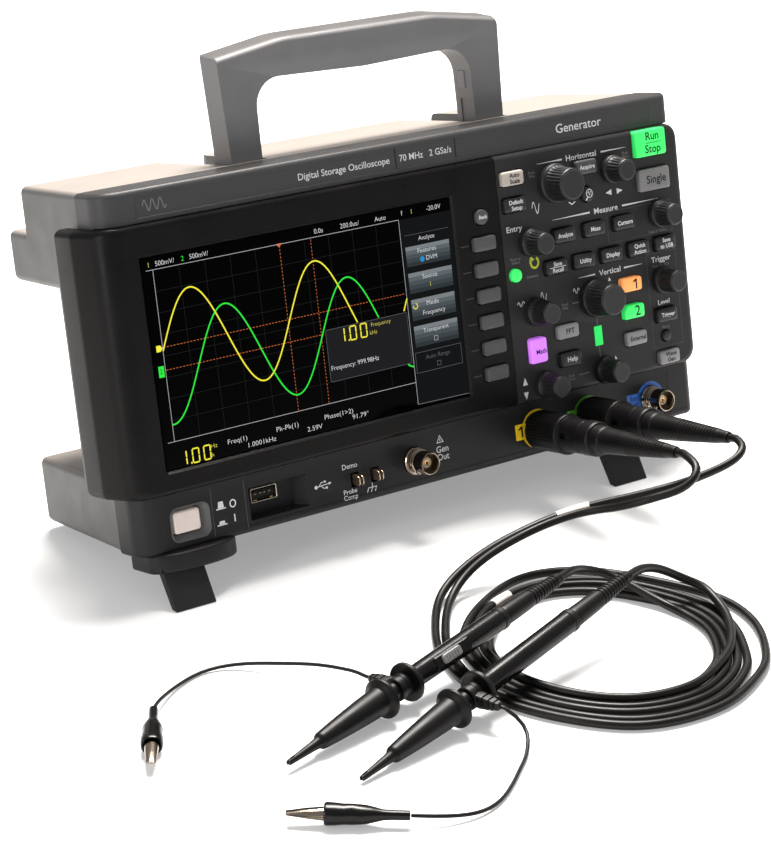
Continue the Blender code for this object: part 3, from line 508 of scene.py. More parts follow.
COIL = Vector((-25.0, -196.0))  # middle of the coil on the bench, in the row frame
CABLE_D, LEAD_D = 3.6, 1.5
FLOOR_STRAND = 1.9  # height of a cable's middle where it lies on the bench
CORD_GAP = 0.3  # between a cord's end and the piece it leaves
PLUG_END = 94.5  # length of a plug with its boot, from the strip's face
SOCKET_Z, STRIP_Y = 12.0, 3.0  # height of the sockets, and the face of their strip
SOCKETS = {"gen_out": -11.2, "channel_1": 56.0, "channel_2": 86.0, "ext_trigger": 124.5}


def coiled(stations):
    """Row-frame points from (degrees round the coil, radius[, height])."""
    points = []
    for angle, radius, *height in stations:
        turn = math.radians(angle)
        points.append((COIL.x + radius * math.cos(turn), COIL.y + radius * math.sin(turn),
                       height[0] if height else FLOOR_STRAND))
    return points


PROBES = {
    "1": {
        "socket": "channel_1",
        "boot_end": (-22.5, -163.2, 18.7), "tip": (-183.0, -206.4, 3.7),
        "arm": (-0.2673, 0.9638, 0),
        "route": [(51.9, -158.0, 51.2), (52.1, -165.0, 49.8), (42.3, -166.4, 43.6),
                  (37.6, -161.3, 40.6), (28.9, -153.9, 36.7), (24.5, -143.4, 31.4),
                  (19.5, -132.5, 28.0), (7.5, -125.0, 24.0), (-5.5, -121.0, 19.8),
                  (-17.0, -119.0, 15.9), (-28.0, -118.5, 11.8), (-38.0, -119.8, 7.2),
                  (-46.5, -124.0, 3.6), (-54.0, -131.0, 2.1)],
        "coil": [(128, 65.5), (150, 62.2), (180, 62), (210, 62.5), (240, 66), (270, 62.5),
                 (300, 57), (318, 54.4), (345, 56), (370, 59.5), (405, 63.7), (423, 65), (440, 64),
                 (465, 58), (488, 53.5), (510, 52.6), (540, 51.5), (570, 53), (600, 55.3),
                 (630, 53.3), (660, 49.2), (678, 47), (705, 48.4), (730, 50.2), (765, 51.6),
                 (783, 54), (800, 54.3), (825, 49.5), (848, 46), (870, 46.3), (900, 46.9),
                 (930, 47.8), (960, 49.5), (990, 47.8), (1020, 44.6), (1038, 43.3), (1065, 44.6),
                 (1090, 46.2), (1105, 47.4, 3.4), (1112, 48.5, 5.2), (1120, 50.8, 7.2),
                 (1128, 54.4, 9.0)],
        "tail": [(4.6, -153.9, 11.8), (-3.8, -154.6, 15.2), (-12.0, -158.6, 18.0)],
        "lead": [(-126.8, -169.0, 9.0), (-132.5, -152.0, 7.0), (-141.5, -136.5, 4.2),
                 (-149.0, -126.5, 2.4), (-157.5, -120.7, 1.2), (-166.0, -120.0, 0.9),
                 (-174.0, -122.6, 1.0), (-182.0, -126.5, 1.4), (-189.5, -132.0, 2.6),
                 (-196.0, -137.5, 3.9)],
        "clip": ((-200.9, -142.5, 4.3), (-224.7, -179.2, 4.3)),
    },
    "2": {
        "socket": "channel_2",
        "boot_end": (-6.9, -187.2, 24.0), "tip": (-167.1, -229.0, 2.0),
        "arm": (0.2620, -0.9650, 0),
        "route": [(85.0, -156.2, 50.6), (80.4, -160.0, 48.9), (73.2, -160.2, 45.6),
                  (64.5, -155.6, 41.6), (57.5, -151.6, 38.2), (49.5, -146.2, 35.4),
                  (39.3, -138.5, 31.7), (24.0, -125.5, 26.2), (11.0, -119.5, 22.6),
                  (-1.3, -116.2, 19.0), (-13.5, -114.5, 15.7), (-27.0, -114.2, 11.4),
                  (-39.0, -115.6, 6.9), (-49.0, -120.0, 3.4), (-57.0, -127.7, 2.0),
                  (-64.6, -136.6, 1.9)],
        "coil": [(150, 66.2), (180, 65.8), (210, 66.4), (240, 70.2), (270, 66.5), (300, 62.4),
                 (318, 62.4), (345, 65.5), (370, 68.3), (405, 71.5), (423, 75.5), (440, 73),
                 (465, 62), (488, 57.5), (510, 56.5), (540, 55.5), (570, 57), (600, 59.5),
                 (630, 57.3), (660, 53), (678, 50.7), (705, 52.2), (730, 54.5), (765, 59.6),
                 (783, 60.8), (800, 59.9), (825, 54), (848, 49.8), (870, 48.9, 3.2),
                 (900, 49.2, 4.6), (930, 50.4, 4.6), (960, 52.4, 4.5), (990, 50.6, 4.6),
                 (1020, 47.2, 4.8), (1038, 48.8, 5.1), (1065, 54.1, 5.1), (1078, 57.5, 6.8),
                 (1088, 59.4, 9.0)],
        "tail": [(34.0, -190.0, 9.6), (32.0, -184.2, 10.0), (25.0, -181.2, 13.8),
                 (15.0, -180.8, 20.0), (4.0, -182.6, 23.2)],
        "lead": [(-99.0, -232.0, 6.8), (-99.6, -238.5, 3.2), (-107.8, -248.0, 1.2),
                 (-117.0, -255.5, 0.9), (-126.8, -263.2, 0.9), (-137.0, -269.7, 1.0),
                 (-147.0, -272.8, 1.4), (-157.0, -272.0, 2.4), (-166.0, -268.6, 3.6)],
        "clip": ((-172.8, -264.6, 4.3), (-206.3, -237.6, 4.3)),
    },
}


def smooth_route(points, spacing):
    """Points about a spacing apart on a Catmull-Rom curve through the route's own points."""
    points = [Vector(p) for p in points]
    ends = [2 * points[0] - points[1], *points, 2 * points[-1] - points[-2]]
    path = []
    for a, b, c, d in zip(ends, ends[1:], ends[2:], ends[3:]):
        count = max(1, round((c - b).length / spacing))
        for i in range(count):
            t = i / count
            path.append(0.5 * (2 * b + (c - a) * t + (2 * a - 5 * b + 4 * c - d) * t ** 2
                               + (3 * b - a - 3 * c + d) * t ** 3))
    return path + [points[-1]]


def relaxed(path, rounds):
    """Evens out small kinks while the ends stay put."""
    for _ in range(rounds):
        evened = ((a + 2 * b + c) / 4 for a, b, c in zip(path[1:], path[2:], path[3:]))
        path = [path[0], path[1], *evened, path[-1]]
    return path


def add_cord(name, path, diameter):
    """A round cord along a path, which hangs from the instrument."""
    curve = bpy.data.curves.new(name, "CURVE")
    curve.dimensions = "3D"
    curve.bevel_depth = diameter / 2 * MM
    curve.bevel_resolution = 5
    curve.use_fill_caps = True
    spline = curve.splines.new("POLY")
    spline.points.add(len(path) - 1)
    for point, place in zip(spline.points, path):
        point.co = (*(place * MM), 1)
    curve.materials.append(CABLE)
    cord = bpy.data.objects.new(name, curve)
    scene.collection.objects.link(cord)
    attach(cord, ROOT)
    return cord


def tube(path, radius, steps):
    """Lofted tube along a path."""
    loops = []
    for i, p in enumerate(path):
        along = (path[min(i + 1, len(path) - 1)] - path[max(i - 1, 0)]).normalized()
        side = along.cross(Vector((0, 0, 1))).normalized()
        up = side.cross(along)
        loops.append([p + radius * (math.cos(t) * side + math.sin(t) * up)
                      for t in (2 * math.pi * k / steps for k in range(steps))])
    return loft(bmesh.new(), loops)


def along_path(path, start, end, count):
    """Points between two distances along a path."""
    found, travelled = [], 0.0
    wanted = [start + (end - start) * i / (count - 1) for i in range(count)]
    for a, b in zip(path, path[1:]):
        step = (b - a).length
        while wanted and travelled + step >= wanted[0]:
            found.append(a + (b - a) * (wanted.pop(0) - travelled) / step)
        travelled += step
    return found


def path_length(path):
    """Length along the middle of a path."""
    return sum((b - a).length for a, b in zip(path, path[1:]))


def nearest(path, spot):
    """Distance along the path to its point nearest a spot."""
    best = min(range(len(path)), key=lambda i: (path[i] - Vector(spot)).length)
    return path_length(path[:best + 1])


def ribs(first, last, start, end, count, depth, land=0.45):
    """(radius, z) points of a boot that tapers from first to last, with grooves round it."""
    points = []
    pitch = (end - start) / count
    for i in range(count):
        for share, drop in ((0.0, 0), (land, 0), (land + 0.12, depth), (0.88, depth)):
            z = start + (i + share) * pitch
            t = (z - start) / (end - start)
            points.append((first + (last - first) * t - drop, z))
    return points + [(last, end)]


def build_plug(number, x):
    """Bayonet plug: knurled collar, compensation box with its trimmer hole, ribbed boot."""

    def knurl(angle, r, z):
        """Fine knurls on the collar, and four soft flats on the box behind it."""
        if 4.2 < z < 21 and r > 8:
            return r - 0.26 * (0.5 + 0.5 * math.cos(angle * 42)) ** 2
        if 24.8 < z < 36.4 and r > 7:
            return r * (1 - 0.05 * (0.5 + 0.5 * math.cos(angle * 4 + 1.2)))
        return r

    profile = [(5.2, 17.0), (5.2, 3.2), (8.2, 3.0), (8.8, 3.4), (9.0, 4.2), (9.0, 4.4), (9.0, 12.0),
               (9.0, 20.8), (9.0, 21.4), (9.15, 21.8), (9.15, 23.6), (8.8, 24.2), (8.2, 24.5),
               (8.1, 25.0), (8.05, 30.0), (7.9, 36.2), (7.5, 36.6), (7.5, 37.0), (7.8, 37.4),
               (7.75, 43.4), (7.3, 44.2), (6.5, 44.5), (6.4, 45.2), (6.3, 48.4), (6.0, 49.2),
               (5.7, 49.6), (5.45, 56.0), (5.0, 64.0)]
    profile += ribs(4.95, 3.25, 65.0, 88.0, 13, 0.3)
    profile += [(3.2, 88.6), (2.95, 89.4), (2.65, 93.4), (2.35, PLUG_END)]
    plug = turned(f"plug_{number}", profile, 96, RUBBER,
                  place=outward(x, SOCKET_Z, STRIP_Y), sharp=28, shape=knurl)
    hole = bmesh.new()
    prism(hole, rectangle(0, 28.4, 2.6, 3.4, 0.3, 2), "x", -9.5, -6.2)
    bmesh.ops.rotate(hole, verts=hole.verts, cent=(0, 0, 0), matrix=Matrix.Rotation(-0.15, 3, "Z"))
    cut(plug, hole, sharp=28)
    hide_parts(f"probe_{number}_plug")


def build_probe(number, probe):
    """Probe body with boot, barrel, finger flange and ground arm, and its hook sleeve.
    Returns the boot, which holds the cable.
    """
    start, tip = Vector(probe["boot_end"]), Vector(probe["tip"])
    along = (tip - start).normalized()
    place = aimed(start, tip)
    boot = [(2.3, 0), (2.5, 0.4), (2.5, 2.4)] + ribs(2.7, 3.7, 3.0, 21.0, 9, 0.42)
    boot += [(3.8, 22.0), (4.0, 30.0), (4.15, 37.4), (3.9, 38.0), (3.9, 38.6), (4.6, 39.0),
             (4.75, 39.6), (4.75, 41.6), (4.5, 42.0)]
    held = turned(f"probe_{number}_boot", boot + [(3.4, 42.0)], 48, RUBBER,
                  place=place, sharp=28)
    barrel = [(3.3, 41.0), (4.5, 42.0), (4.6, 42.6), (4.55, 60.0), (4.45, 90.0), (4.4, 95.6),
              (4.7, 96.2), (4.7, 97.0), (3.4, 97.4)]
    turned(f"probe_{number}_barrel", barrel, 64, GLOSS, place=place, sharp=28)
    flange = [(3.3, 96.6), (5.0, 96.9), (6.2, 97.6), (7.6, 97.9), (7.85, 98.3), (7.85, 99.6),
              (7.5, 100.0), (6.4, 99.6), (5.2, 99.3), (4.0, 99.4), (3.7, 100.4)]
    neck = flange + [(4.6, 100.9), (4.75, 101.3), (4.75, 103.0), (4.5, 103.3), (4.5, 104.0),
                     (4.75, 104.3), (4.75, 106.4), (4.4, 106.8), (3.5, 107.0), (3.5, 118.6),
                     (3.1, 119.0), (2.1, 119.2), (2.1, 136.6), (1.7, 137.0)]
    neck_piece = turned(f"probe_{number}_neck", neck, 56, RUBBER, place=place,
                        sharp=28)
    out = place.inverted().to_3x3() @ Vector(probe["arm"]).normalized()
    out.normalize()
    up = Vector((0, 0, 1))
    side = out.cross(up)
    sections = [(2.0, 2.7, 2.6), (5.0, 2.75, 2.6), (6.6, 2.6, 2.5), (6.8, 2.1, 2.0),
                (7.4, 2.1, 2.0), (7.6, 2.5, 2.4), (9.4, 2.4, 2.3), (9.6, 1.9, 1.8),
                (10.1, 1.9, 1.8), (10.3, 2.2, 2.1), (11.6, 2.0, 1.9), (11.8, 1.5, 1.5),
                (12.2, 1.5, 1.5), (12.4, 1.8, 1.7), (13.4, 1.6, 1.5), (14.0, 1.1, 1.1)]
    loops = []
    for reach, a, b in sections:
        middle = up * 104.0 + out * reach
        outline = rectangle(0, 0, 2 * a, 2 * b, min(a, b) * 0.5, 3)
        loops.append([middle + side * p.x + up * p.y for p in outline])
    add(f"probe_{number}_ground_arm", loft(bmesh.new(), loops), RUBBER,
        place=place, sharp=28)
    if number == "1":
        build_slider(place)
    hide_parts(f"probe_{number}_body")

    sleeve = [(2.7, 30.0), (2.7, 15.0), (4.1, 15.0), (4.1, 0.0), (6.9, -0.1), (7.8, 0.1),
              (8.05, 0.6), (8.0, 1.3), (7.3, 2.1), (6.2, 2.7), (5.6, 3.4), (5.4, 5.0), (5.3, 8.0),
              (5.0, 14.0), (4.5, 22.0), (3.9, 30.0), (3.35, 36.2), (3.1, 37.2), (2.6, 37.8),
              (2.15, 38.6), (1.9, 41.0), (1.5, 48.0), (1.25, 53.4), (1.15, 54.4), (1.0, 55.0)]
    sleeve_place = aimed(start + along * 113.0, tip)
    hook_body = f"probe_{number}_hook_sleeve"
    nose = turned(f"probe_{number}_nozzle", sleeve, 56, RUBBER, hook_body,
                  sleeve_place, sharp=30)
    notch = bmesh.new()
    box(notch, (-0.35, -3, 51.6), (0.35, 3, 56.0))
    cut(nose, notch, sharp=30)
    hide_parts(hook_body)
    bends = ((0, 47), (0, 50), (0.1, 52.6), (0.5, 53.6), (0.75, 54.4))
    wire = [Vector((0, y, z)) for y, z in bends]
    add(f"probe_{number}_hook", tube(wire, 0.32, 10), STEEL, hook_body, sleeve_place)
    return held


def build_slider(place):
    """Attenuation switch: a grey ribbed slider in a raised bed on the barrel's upper side."""
    up = place.inverted().to_3x3() @ Vector((0.55, -0.75, 0.55))
    up.z = 0
    up.normalize()
    side = Vector((0, 0, 1)).cross(up)

    def layers(bm, z, width, length, radius, steps, levels):
        """Lofts a rounded block at z through (reach from the middle, shrink) levels."""
        loops = []
        for reach, shrink in levels:
            outline = rectangle(0, z, width - 2 * shrink, length - 2 * shrink, radius, steps)
            loops.append([up * reach + side * p.x + Vector((0, 0, p.y)) for p in outline])
        return loft(bm, loops)

    bed = add("probe_1_switch_bed",
              layers(bmesh.new(), 75, 5.0, 22, 1.0, 4, ((3.0, 0), (4.4, 0), (4.8, 0.4))),
              GLOSS, place=place)
    bm = layers(bmesh.new(), 76.5, 3.8, 11.0, 1.2, 4, ((4.0, 0), (5.4, 0), (5.75, 0.35)))
    for i in range(5):
        layers(bm, 73.3 + 1.6 * i, 2.4, 0.5, 0.2, 2, ((5.6, 0), (5.95, 0)))
    slider = add("probe_1_switch", bm, SLIDER, place=place)
    slider.parent = bed
    slider.matrix_parent_inverse = bed.matrix_world.inverted()


def superellipse(a, b, power, steps, pinch):
    """Oval points, drawn in by pinch at the middle of its flat sides."""
    points = []
    for i in range(steps):
        t = 2 * math.pi * i / steps
        c, s = math.cos(t), math.sin(t)
        points.append(((a - pinch * abs(s) ** 3) * math.copysign(abs(c) ** (2 / power), c),
                       b * math.copysign(abs(s) ** (2 / power), s)))
    return points


def build_clip(number, start, end):
    """Small alligator clip: pinched glossy boot and two plated jaws, one hollow."""
    place = aimed(start, end)
    sections = [(0.0, 1.5, 1.5), (0.3, 1.7, 1.7), (6.0, 1.75, 1.7), (9.4, 1.9, 1.9),
                (12.0, 2.6, 2.5), (15.0, 3.4, 3.1), (17.0, 3.9, 3.3), (20.0, 3.6, 3.7),
                (23.0, 4.0, 3.5), (26.0, 4.3, 3.8), (28.8, 4.1, 3.9), (29.6, 3.8, 3.6),
                (29.8, 3.4, 3.2), (27.0, 3.2, 3.0)]
    bm = bmesh.new()
    loops = []
    for z, a, b in sections:
        dent = 0.9 if 15 < z < 27 and a > 3.3 else 0.2
        loops.append([(x, y, z) for x, y in superellipse(a, b, 2.5, 32, dent)])
    loft(bm, loops)
    boot = add(f"clip_{number}_boot", bm, GLOSS, place=place, sharp=40)
    bm = bmesh.new()
    half_turn = [math.pi * k / 8 for k in range(9)]
    for sign in (1, -1):
        stations = [(25.0, 2.9, 0.8), (30.0, 2.8, 1.0), (36.0, 2.4, 1.6 if sign > 0 else 1.3),
                    (41.0, 1.9, 1.3), (42.6, 1.7, 1.1), (43.0, 1.5, 0.9)]
        outer, inner = [], []
        for z, half, height in stations:
            narrow = (43.6 - z) / 18
            outer.append([(half * math.cos(t),
                           sign * (0.15 + (height + 1.5) * narrow * math.sin(t) ** 0.7
                                   + 0.25 * math.sin(t)), z) for t in half_turn])
            inner.append([(0.82 * half * math.cos(t),
                           sign * (0.05 + (height + 1.2) * narrow * math.sin(t) ** 0.7 * 0.8), z)
                          for t in half_turn])
        for rows, flip in ((outer, False), (inner, True)):
            grid = [[bm.verts.new(p) for p in row] for row in rows]
            for a, b in zip(grid, grid[1:]):
                for i in range(8):
                    corners = (a[i], a[i + 1], b[i + 1], b[i])
                    bm.faces.new(corners[::-1] if flip else corners)
            rows[:] = grid
        for i in range(8):
            bm.faces.new((outer[-1][i], outer[-1][i + 1], inner[-1][i + 1], inner[-1][i]))
            bm.faces.new((outer[0][i + 1], outer[0][i], inner[0][i], inner[0][i + 1]))
        for edge in (0, 8):
            skins = list(zip((row[edge] for row in outer), (row[edge] for row in inner)))
            for (a, b), (c, d) in zip(skins, skins[1:]):
                bm.faces.new((a, c, d, b))
    jaws = add(f"clip_{number}_jaws", bm, PLATING, place=place, sharp=40)
    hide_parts(f"ground_clip_{number}")
    return [boot, jaws]


paths = {}
for number, probe in PROBES.items():
    x = SOCKETS[probe["socket"]]
    build_plug(number, x)
    held = build_probe(number, probe)
    boot_end, tip = Vector(probe["boot_end"]), Vector(probe["tip"])
    back = (boot_end - tip).normalized()
    leave = [on_body(x, STRIP_Y - PLUG_END - gap, SOCKET_Z) for gap in (CORD_GAP, 4.0)]
    arrive = [boot_end + back * gap for gap in (4.0, CORD_GAP)]
    route = leave + probe["route"] + coiled(probe["coil"]) + probe["tail"] + arrive
    path = relaxed(smooth_route(route, 3.0), 8)
    paths[number] = path
    cable = add_cord(f"probe_{number}_lead_cable", path, CABLE_D)
    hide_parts(f"probe_{number}_cable", f"probe_{number}_tail", "cable_coil")
    arm = Vector(probe["arm"]).normalized()
    lead_start = [boot_end - back * 104.0 + arm * (14.0 + gap) for gap in (CORD_GAP, 2.0)]
    clip_start, clip_end = (Vector(p) for p in probe["clip"])
    into = (clip_end - clip_start).normalized()
    lead_route = lead_start + probe["lead"] + [clip_start - into * CORD_GAP]
    lead_path = relaxed(smooth_route(lead_route, 4.0), 1)
    lead = add_cord(f"probe_{number}_ground_wire", lead_path, LEAD_D)
    clip = build_clip(number, clip_start, clip_end)
    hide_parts(f"ground_lead_{number}")

# White marker sleeves: (name, probe, a place near its middle, length)
for name, number, spot, length in (
        ("marker_sleeve_lead", "2", (18.5, -123.0, 24.7), 14.5),
        ("marker_sleeve_coil", "1", (-32.5, -137.4, 1.9), 12.0)):
    middle = nearest(paths[number], spot)
    sleeve_path = along_path(paths[number], middle - length / 2, middle + length / 2, 11)
    add(name, tube(sleeve_path, 2.15, 24), SLEEVE_WHITE,
        place=Matrix.Identity(4), sharp=40)

# ---------------------------------------------------------------------------- case and handle

CASE_SCREWS = ((-120, 119), (120, 119), (-120, 15), (120, 15))
LEG_X = {"left": -133, "right": 102}  # middle of each tilt leg
REAR_FEET_X = (-118, 118)
ORIGIN_HEIGHT = 20.95  # of the body's origin over the bench


def tapered(outline, front, half, draft):
    """Prism across x whose sides draw in behind the front."""
    bm = prism(bmesh.new(), outline, "x", -1, 1)
    for vert in bm.verts:
        vert.co.x = math.copysign(half - draft * max(0.0, vert.co.y - front), vert.co.x)
    return bm


def handle_rooms():
    """Wells round the handle's eyes and channels for its folded legs."""
    wells, channels = bmesh.new(), bmesh.new()
    both_sides(wells, 54.5, 74.5, (24.5, 128.5), (49.2, 160))
    for side in (-1, 1):
        plan = [(54.6, 44), (54.6, 74), (49.5, 85), (43.9, 97), (75.6, 97), (75.6, 44)]
        prism(channels, [(side * x, y) for x, y in plan], "z", 136.05, 161)
    return wells, channels


def bench(y):
    """Height in the body's frame of the bench under a point y behind the display."""
    return (math.sin(TILT) * y - ORIGIN_HEIGHT) / math.cos(TILT)


def screw(name, x, y, z, radius=2.6):
    """Socket-head screw with a six-lobed drive, sunk in its counterbore."""
    profile = [(radius, -2.0), (radius, 0.0), (radius - 0.5, 0.45), (radius * 0.55, 0.55),
               (radius * 0.5, -0.7), (0.0, -0.8)]

    def lobes(angle, r, _):
        """Six lobes in the drive."""
        return r * (1 + 0.14 * math.cos(6 * angle)) if r < radius * 0.6 else r

    place = (BODY @ Matrix.Translation(Vector((x, y, z)) * MM)
             @ Matrix.Rotation(-math.pi / 2, 4, "X"))
    turned(name, profile, 36, STEEL, place=place, shape=lobes)


def build_case():
    """Rear shell with its vents, screws, rear feet and mains inlet."""
    profile = [(12.3, 0), (12.3, 150), (84, 150), (84, 130), (104, 130), (104, 108), (54, 108),
               (54, 30), (104, 30), (104, 1)]
    case = add("case_shell", tapered(profile, 22.3, 150, 0.127), CASE, edge=3.2,
               segments=5)
    cut(case, box(bmesh.new(), (-200, 0, -10), (200, 22.3, 200)))
    for room in handle_rooms():
        cut(case, room)
    holes = bmesh.new()
    box(holes, (-114.5, 40, 54.5), (-85.5, 70, 75.5))
    for i in range(9):
        for z in (40, 58, 76):
            prism(holes, rectangle(-52 + 7 * i, z + 9, 2.6, 14, 1.3, 3), "y", 51, 60)
    for row in range(1, 5):
        for x, z in ring(86, 68, 6.2 * row, 6.2 * row, 6 + 2 * row):
            prism(holes, circle(x, z, 2.1, 14), "y", 50.5, 60)
    for x, z in CASE_SCREWS:
        prism(holes, circle(x, z, 3.4, 24), "y", 100.8, 110)
    prism(holes, rectangle(132.5, 60, 3, 7, 0.6, 3), "y", 50.5, 60)
    cut(case, holes)
    # A dark sheet behind the vent slots: painted shade in them.
    shadow = bmesh.new()
    box(shadow, (-62, 50.2, 38), (118, 50.7, 100))
    add("vent_backing", shadow, DEEP)
    for x, z in CASE_SCREWS:
        screw(f"case_screw_{'r' if x > 0 else 'l'}{z}", x, 101.6, z)
    feet = bmesh.new()
    for x in REAR_FEET_X:
        outline = [(88, 4), (88, bench(88) + 0.05), (100, bench(100) + 0.05), (100, 4)]
        prism(feet, outline, "x", x - 9, x + 9)
    pads = add("rear_foot_pads", feet, RUBBER, edge=0.8)
    grooves = bmesh.new()
    for x in REAR_FEET_X:
        for k in (-5, -1.7, 1.7, 5):
            box(grooves, (x + k - 0.35, 85, -12), (x + k + 0.35, 103, bench(92) + 0.7))
    cut(pads, grooves)
    bm = bmesh.new()
    stepped(bm, -100, 65, ((40, 24, 15.5, 1.5), (56.2, 24, 15.5, 1.5), (56.5, 24.6, 16.1, 1.8),
                           (56.5, 47.2, 27.2, 6), (56.0, 48, 28, 6.4), (54.3, 48, 28, 6.4),
                           (54.3, 28, 20, 2), (33, 28, 20, 2)))
    inlet = add("mains_inlet", bm, KEY_DARK, sharp=30)
    pins = bmesh.new()
    for x, z in ((-107, 62.5), (-93, 62.5), (-100, 68)):
        stepped(pins, x, z, ((39, 2, 5, 0.4), (52.4, 2, 5, 0.4), (53.2, 1.2, 3, 0.24)), 2)
    add("mains_inlet_pins", pins, NICKEL)
    for x in (-120, -80):
        screw(f"inlet_screw_{-x}", x, 56.6, 65, 1.7)
    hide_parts("ac_inlet")
    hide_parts("rear_case")


def build_handle():
    """Carrying handle: an arch with an eye at each foot, and the two catches inside."""
    corners = [(-72, 142, 0), (-74, 194.5, 1.2), (-40, 199.5, 60), (40, 199.5, 60),
               (74, 194.5, 1.2), (72, 142, 0), (57, 142, 0), (56.5, 183.6, 12), (0, 181.8, 0),
               (-56.5, 183.6, 12), (-57, 142, 0)]
    crest = [(25, -2.6), (25.5, -1.5), (26.4, -0.7), (28, 0.0), (32, 0.4), (38, 1.4)]
    outline = rounded(corners, 8)
    bm = loft(bmesh.new(), [[(p.x, y, p.y + (rise if p.y > 189.5 else 0)) for p in outline]
                            for y, rise in crest])
    handle = add("carry_handle", bm, HANDLE, "handle")
    side = [(25, 146), (25, 139), *arc(39, 136, 6.8, 6.8, range(212, 418, 8)), (38, 146)]
    eyes = bmesh.new()
    for x0, x1 in ((-72, -57), (57, 72)):
        prism(eyes, side, "x", x0, x1)
    cut(handle, eyes, "UNION")
    ease(handle, 0.8, limit=40)
    grooves = bmesh.new()
    both_sides(grooves, 55.0, 57.4, (29.5, 146), (34.5, 160))
    cut(handle, grooves, sharp=40)
    catches = bmesh.new()
    both_sides(catches, 56.2, 57.6, (29.6, 164.5), (34.4, 172.5))
    add("handle_catches", catches, HANDLE, "handle", edge=0.4)
    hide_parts("handle")


def build_legs():
    """The two tilt legs, stood out under the front."""
    for side, x in LEG_X.items():
        points = [(-4.9, bench(-4.9)), (-1.2, bench(-1.2)),
                  *arc(5, -3.5, 2.4, 2.4, range(-20, 201, 20))]
        leg = add(f"folding_leg_{side}", prism(bmesh.new(), points, "x", x - 9.75, x + 9.75), LEG,
                  f"tilt_leg_{side}", edge=0.5)
        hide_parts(f"tilt_leg_{side}")


# ---------------------------------------------------------------------------- front housing

STRIP_TEXT = (-134.0, 139.6, 138.0, 147.4)  # left, right, foot and top of the cap's sunk strip
POWER = (-127.9, 12.1)  # middle of the power key
LUG_X = (-43.5, -33.0)  # the two probe compensation terminals


def power_well(*sections):
    """Loops of the power key's well from (y, shift to the right, width, height, radius)."""
    return [at(y, rectangle(POWER[0] + shift, POWER[1] - shift * 0.5, w, h, r, 5))
            for y, shift, w, h, r in sections]


def build_housing():
    """Front frame with its wells and holes."""
    plan = rounded([(-150, 32, 0), (-150, 3, 10), (151.5, 3, 5), (150, 32, 0)], 12)
    housing = add("front_frame", prism(bmesh.new(), plan, "z", 0, 150), CHARCOAL,
                  edge=2.2, segments=4)
    room = bmesh.new()
    box(room, (-200, 22, -10), (200, 50, 200))
    box(room, (-146, -10, 24.7), (146, 30, 136.3))
    cut(housing, room)
    sides = bmesh.new()
    both_sides(sides, 142, 200, (-10, 24.7), (10.4, 136.3))
    cut(housing, sides)
    holes = bmesh.new()
    for x in SOCKETS.values():
        prism(holes, circle(x, SOCKET_Z, 5.3, 32), "y", -5, 20)
    loft(holes, power_well((2.0, 1.6, 19.2, 14.8, 3.7), (5.9, 1.6, 19.2, 14.8, 3.7),
                           (6.0, 0.0, 13.3, 9.8, 1.4), (14, 0.0, 13.3, 9.8, 1.4)))
    loft(holes, [at(y, rectangle((a + b) / 2, 11.9, b - a, h, 0.7, 3)) for y, a, b, h in
                 ((2.0, -97.5, -66.7, 14.3), (3.0, -97.3, -67.1, 13.9), (9.6, -96.9, -71.0, 13.1))])
    for x in LUG_X:
        prism(holes, rectangle(x, 10.75, 4.4, 6.5, 0.5, 2), "y", -10, 20)
    x0, x1, z0, z1 = STRIP_TEXT
    stepped(holes, (x0 + x1) / 2, (z0 + z1) / 2,
            [(y, x1 - x0 - 2 * s, z1 - z0 - 2 * s, 0.8)
             for y, s in ((2.0, -0.6), (2.9, 0.0), (3.35, 0.35))])
    cut(housing, holes, sharp=28)
    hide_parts("front_housing")


def build_front_pads():
    """Bowed foot pads under the front, slotted for the legs."""
    pads = bmesh.new()
    for leg_x in LEG_X.values():
        cx = leg_x + 7.5
        bow = [(cx + 21 * math.copysign(abs(math.cos(a)) ** 0.84, math.cos(a)),
                8 - 10 * abs(math.sin(a)) ** 0.84)
               for a in (math.pi * (1 + i / 28) for i in range(29))]
        prism(pads, [(cx - 21, 21), *bow, (cx + 21, 21)], "z", -7, 1.0)
    foot = add("front_foot_pads", pads, CHARCOAL, edge=1.3)
    slots = bmesh.new()
    for leg_x in LEG_X.values():
        room = [(2.4, -0.6), (30, -0.6), (30, -20), (-4.6, -20), (0.8, -7.0), (2.3, -3.4)]
        prism(slots, room, "x", leg_x - 10.35, leg_x + 10.35)
    cut(foot, slots)


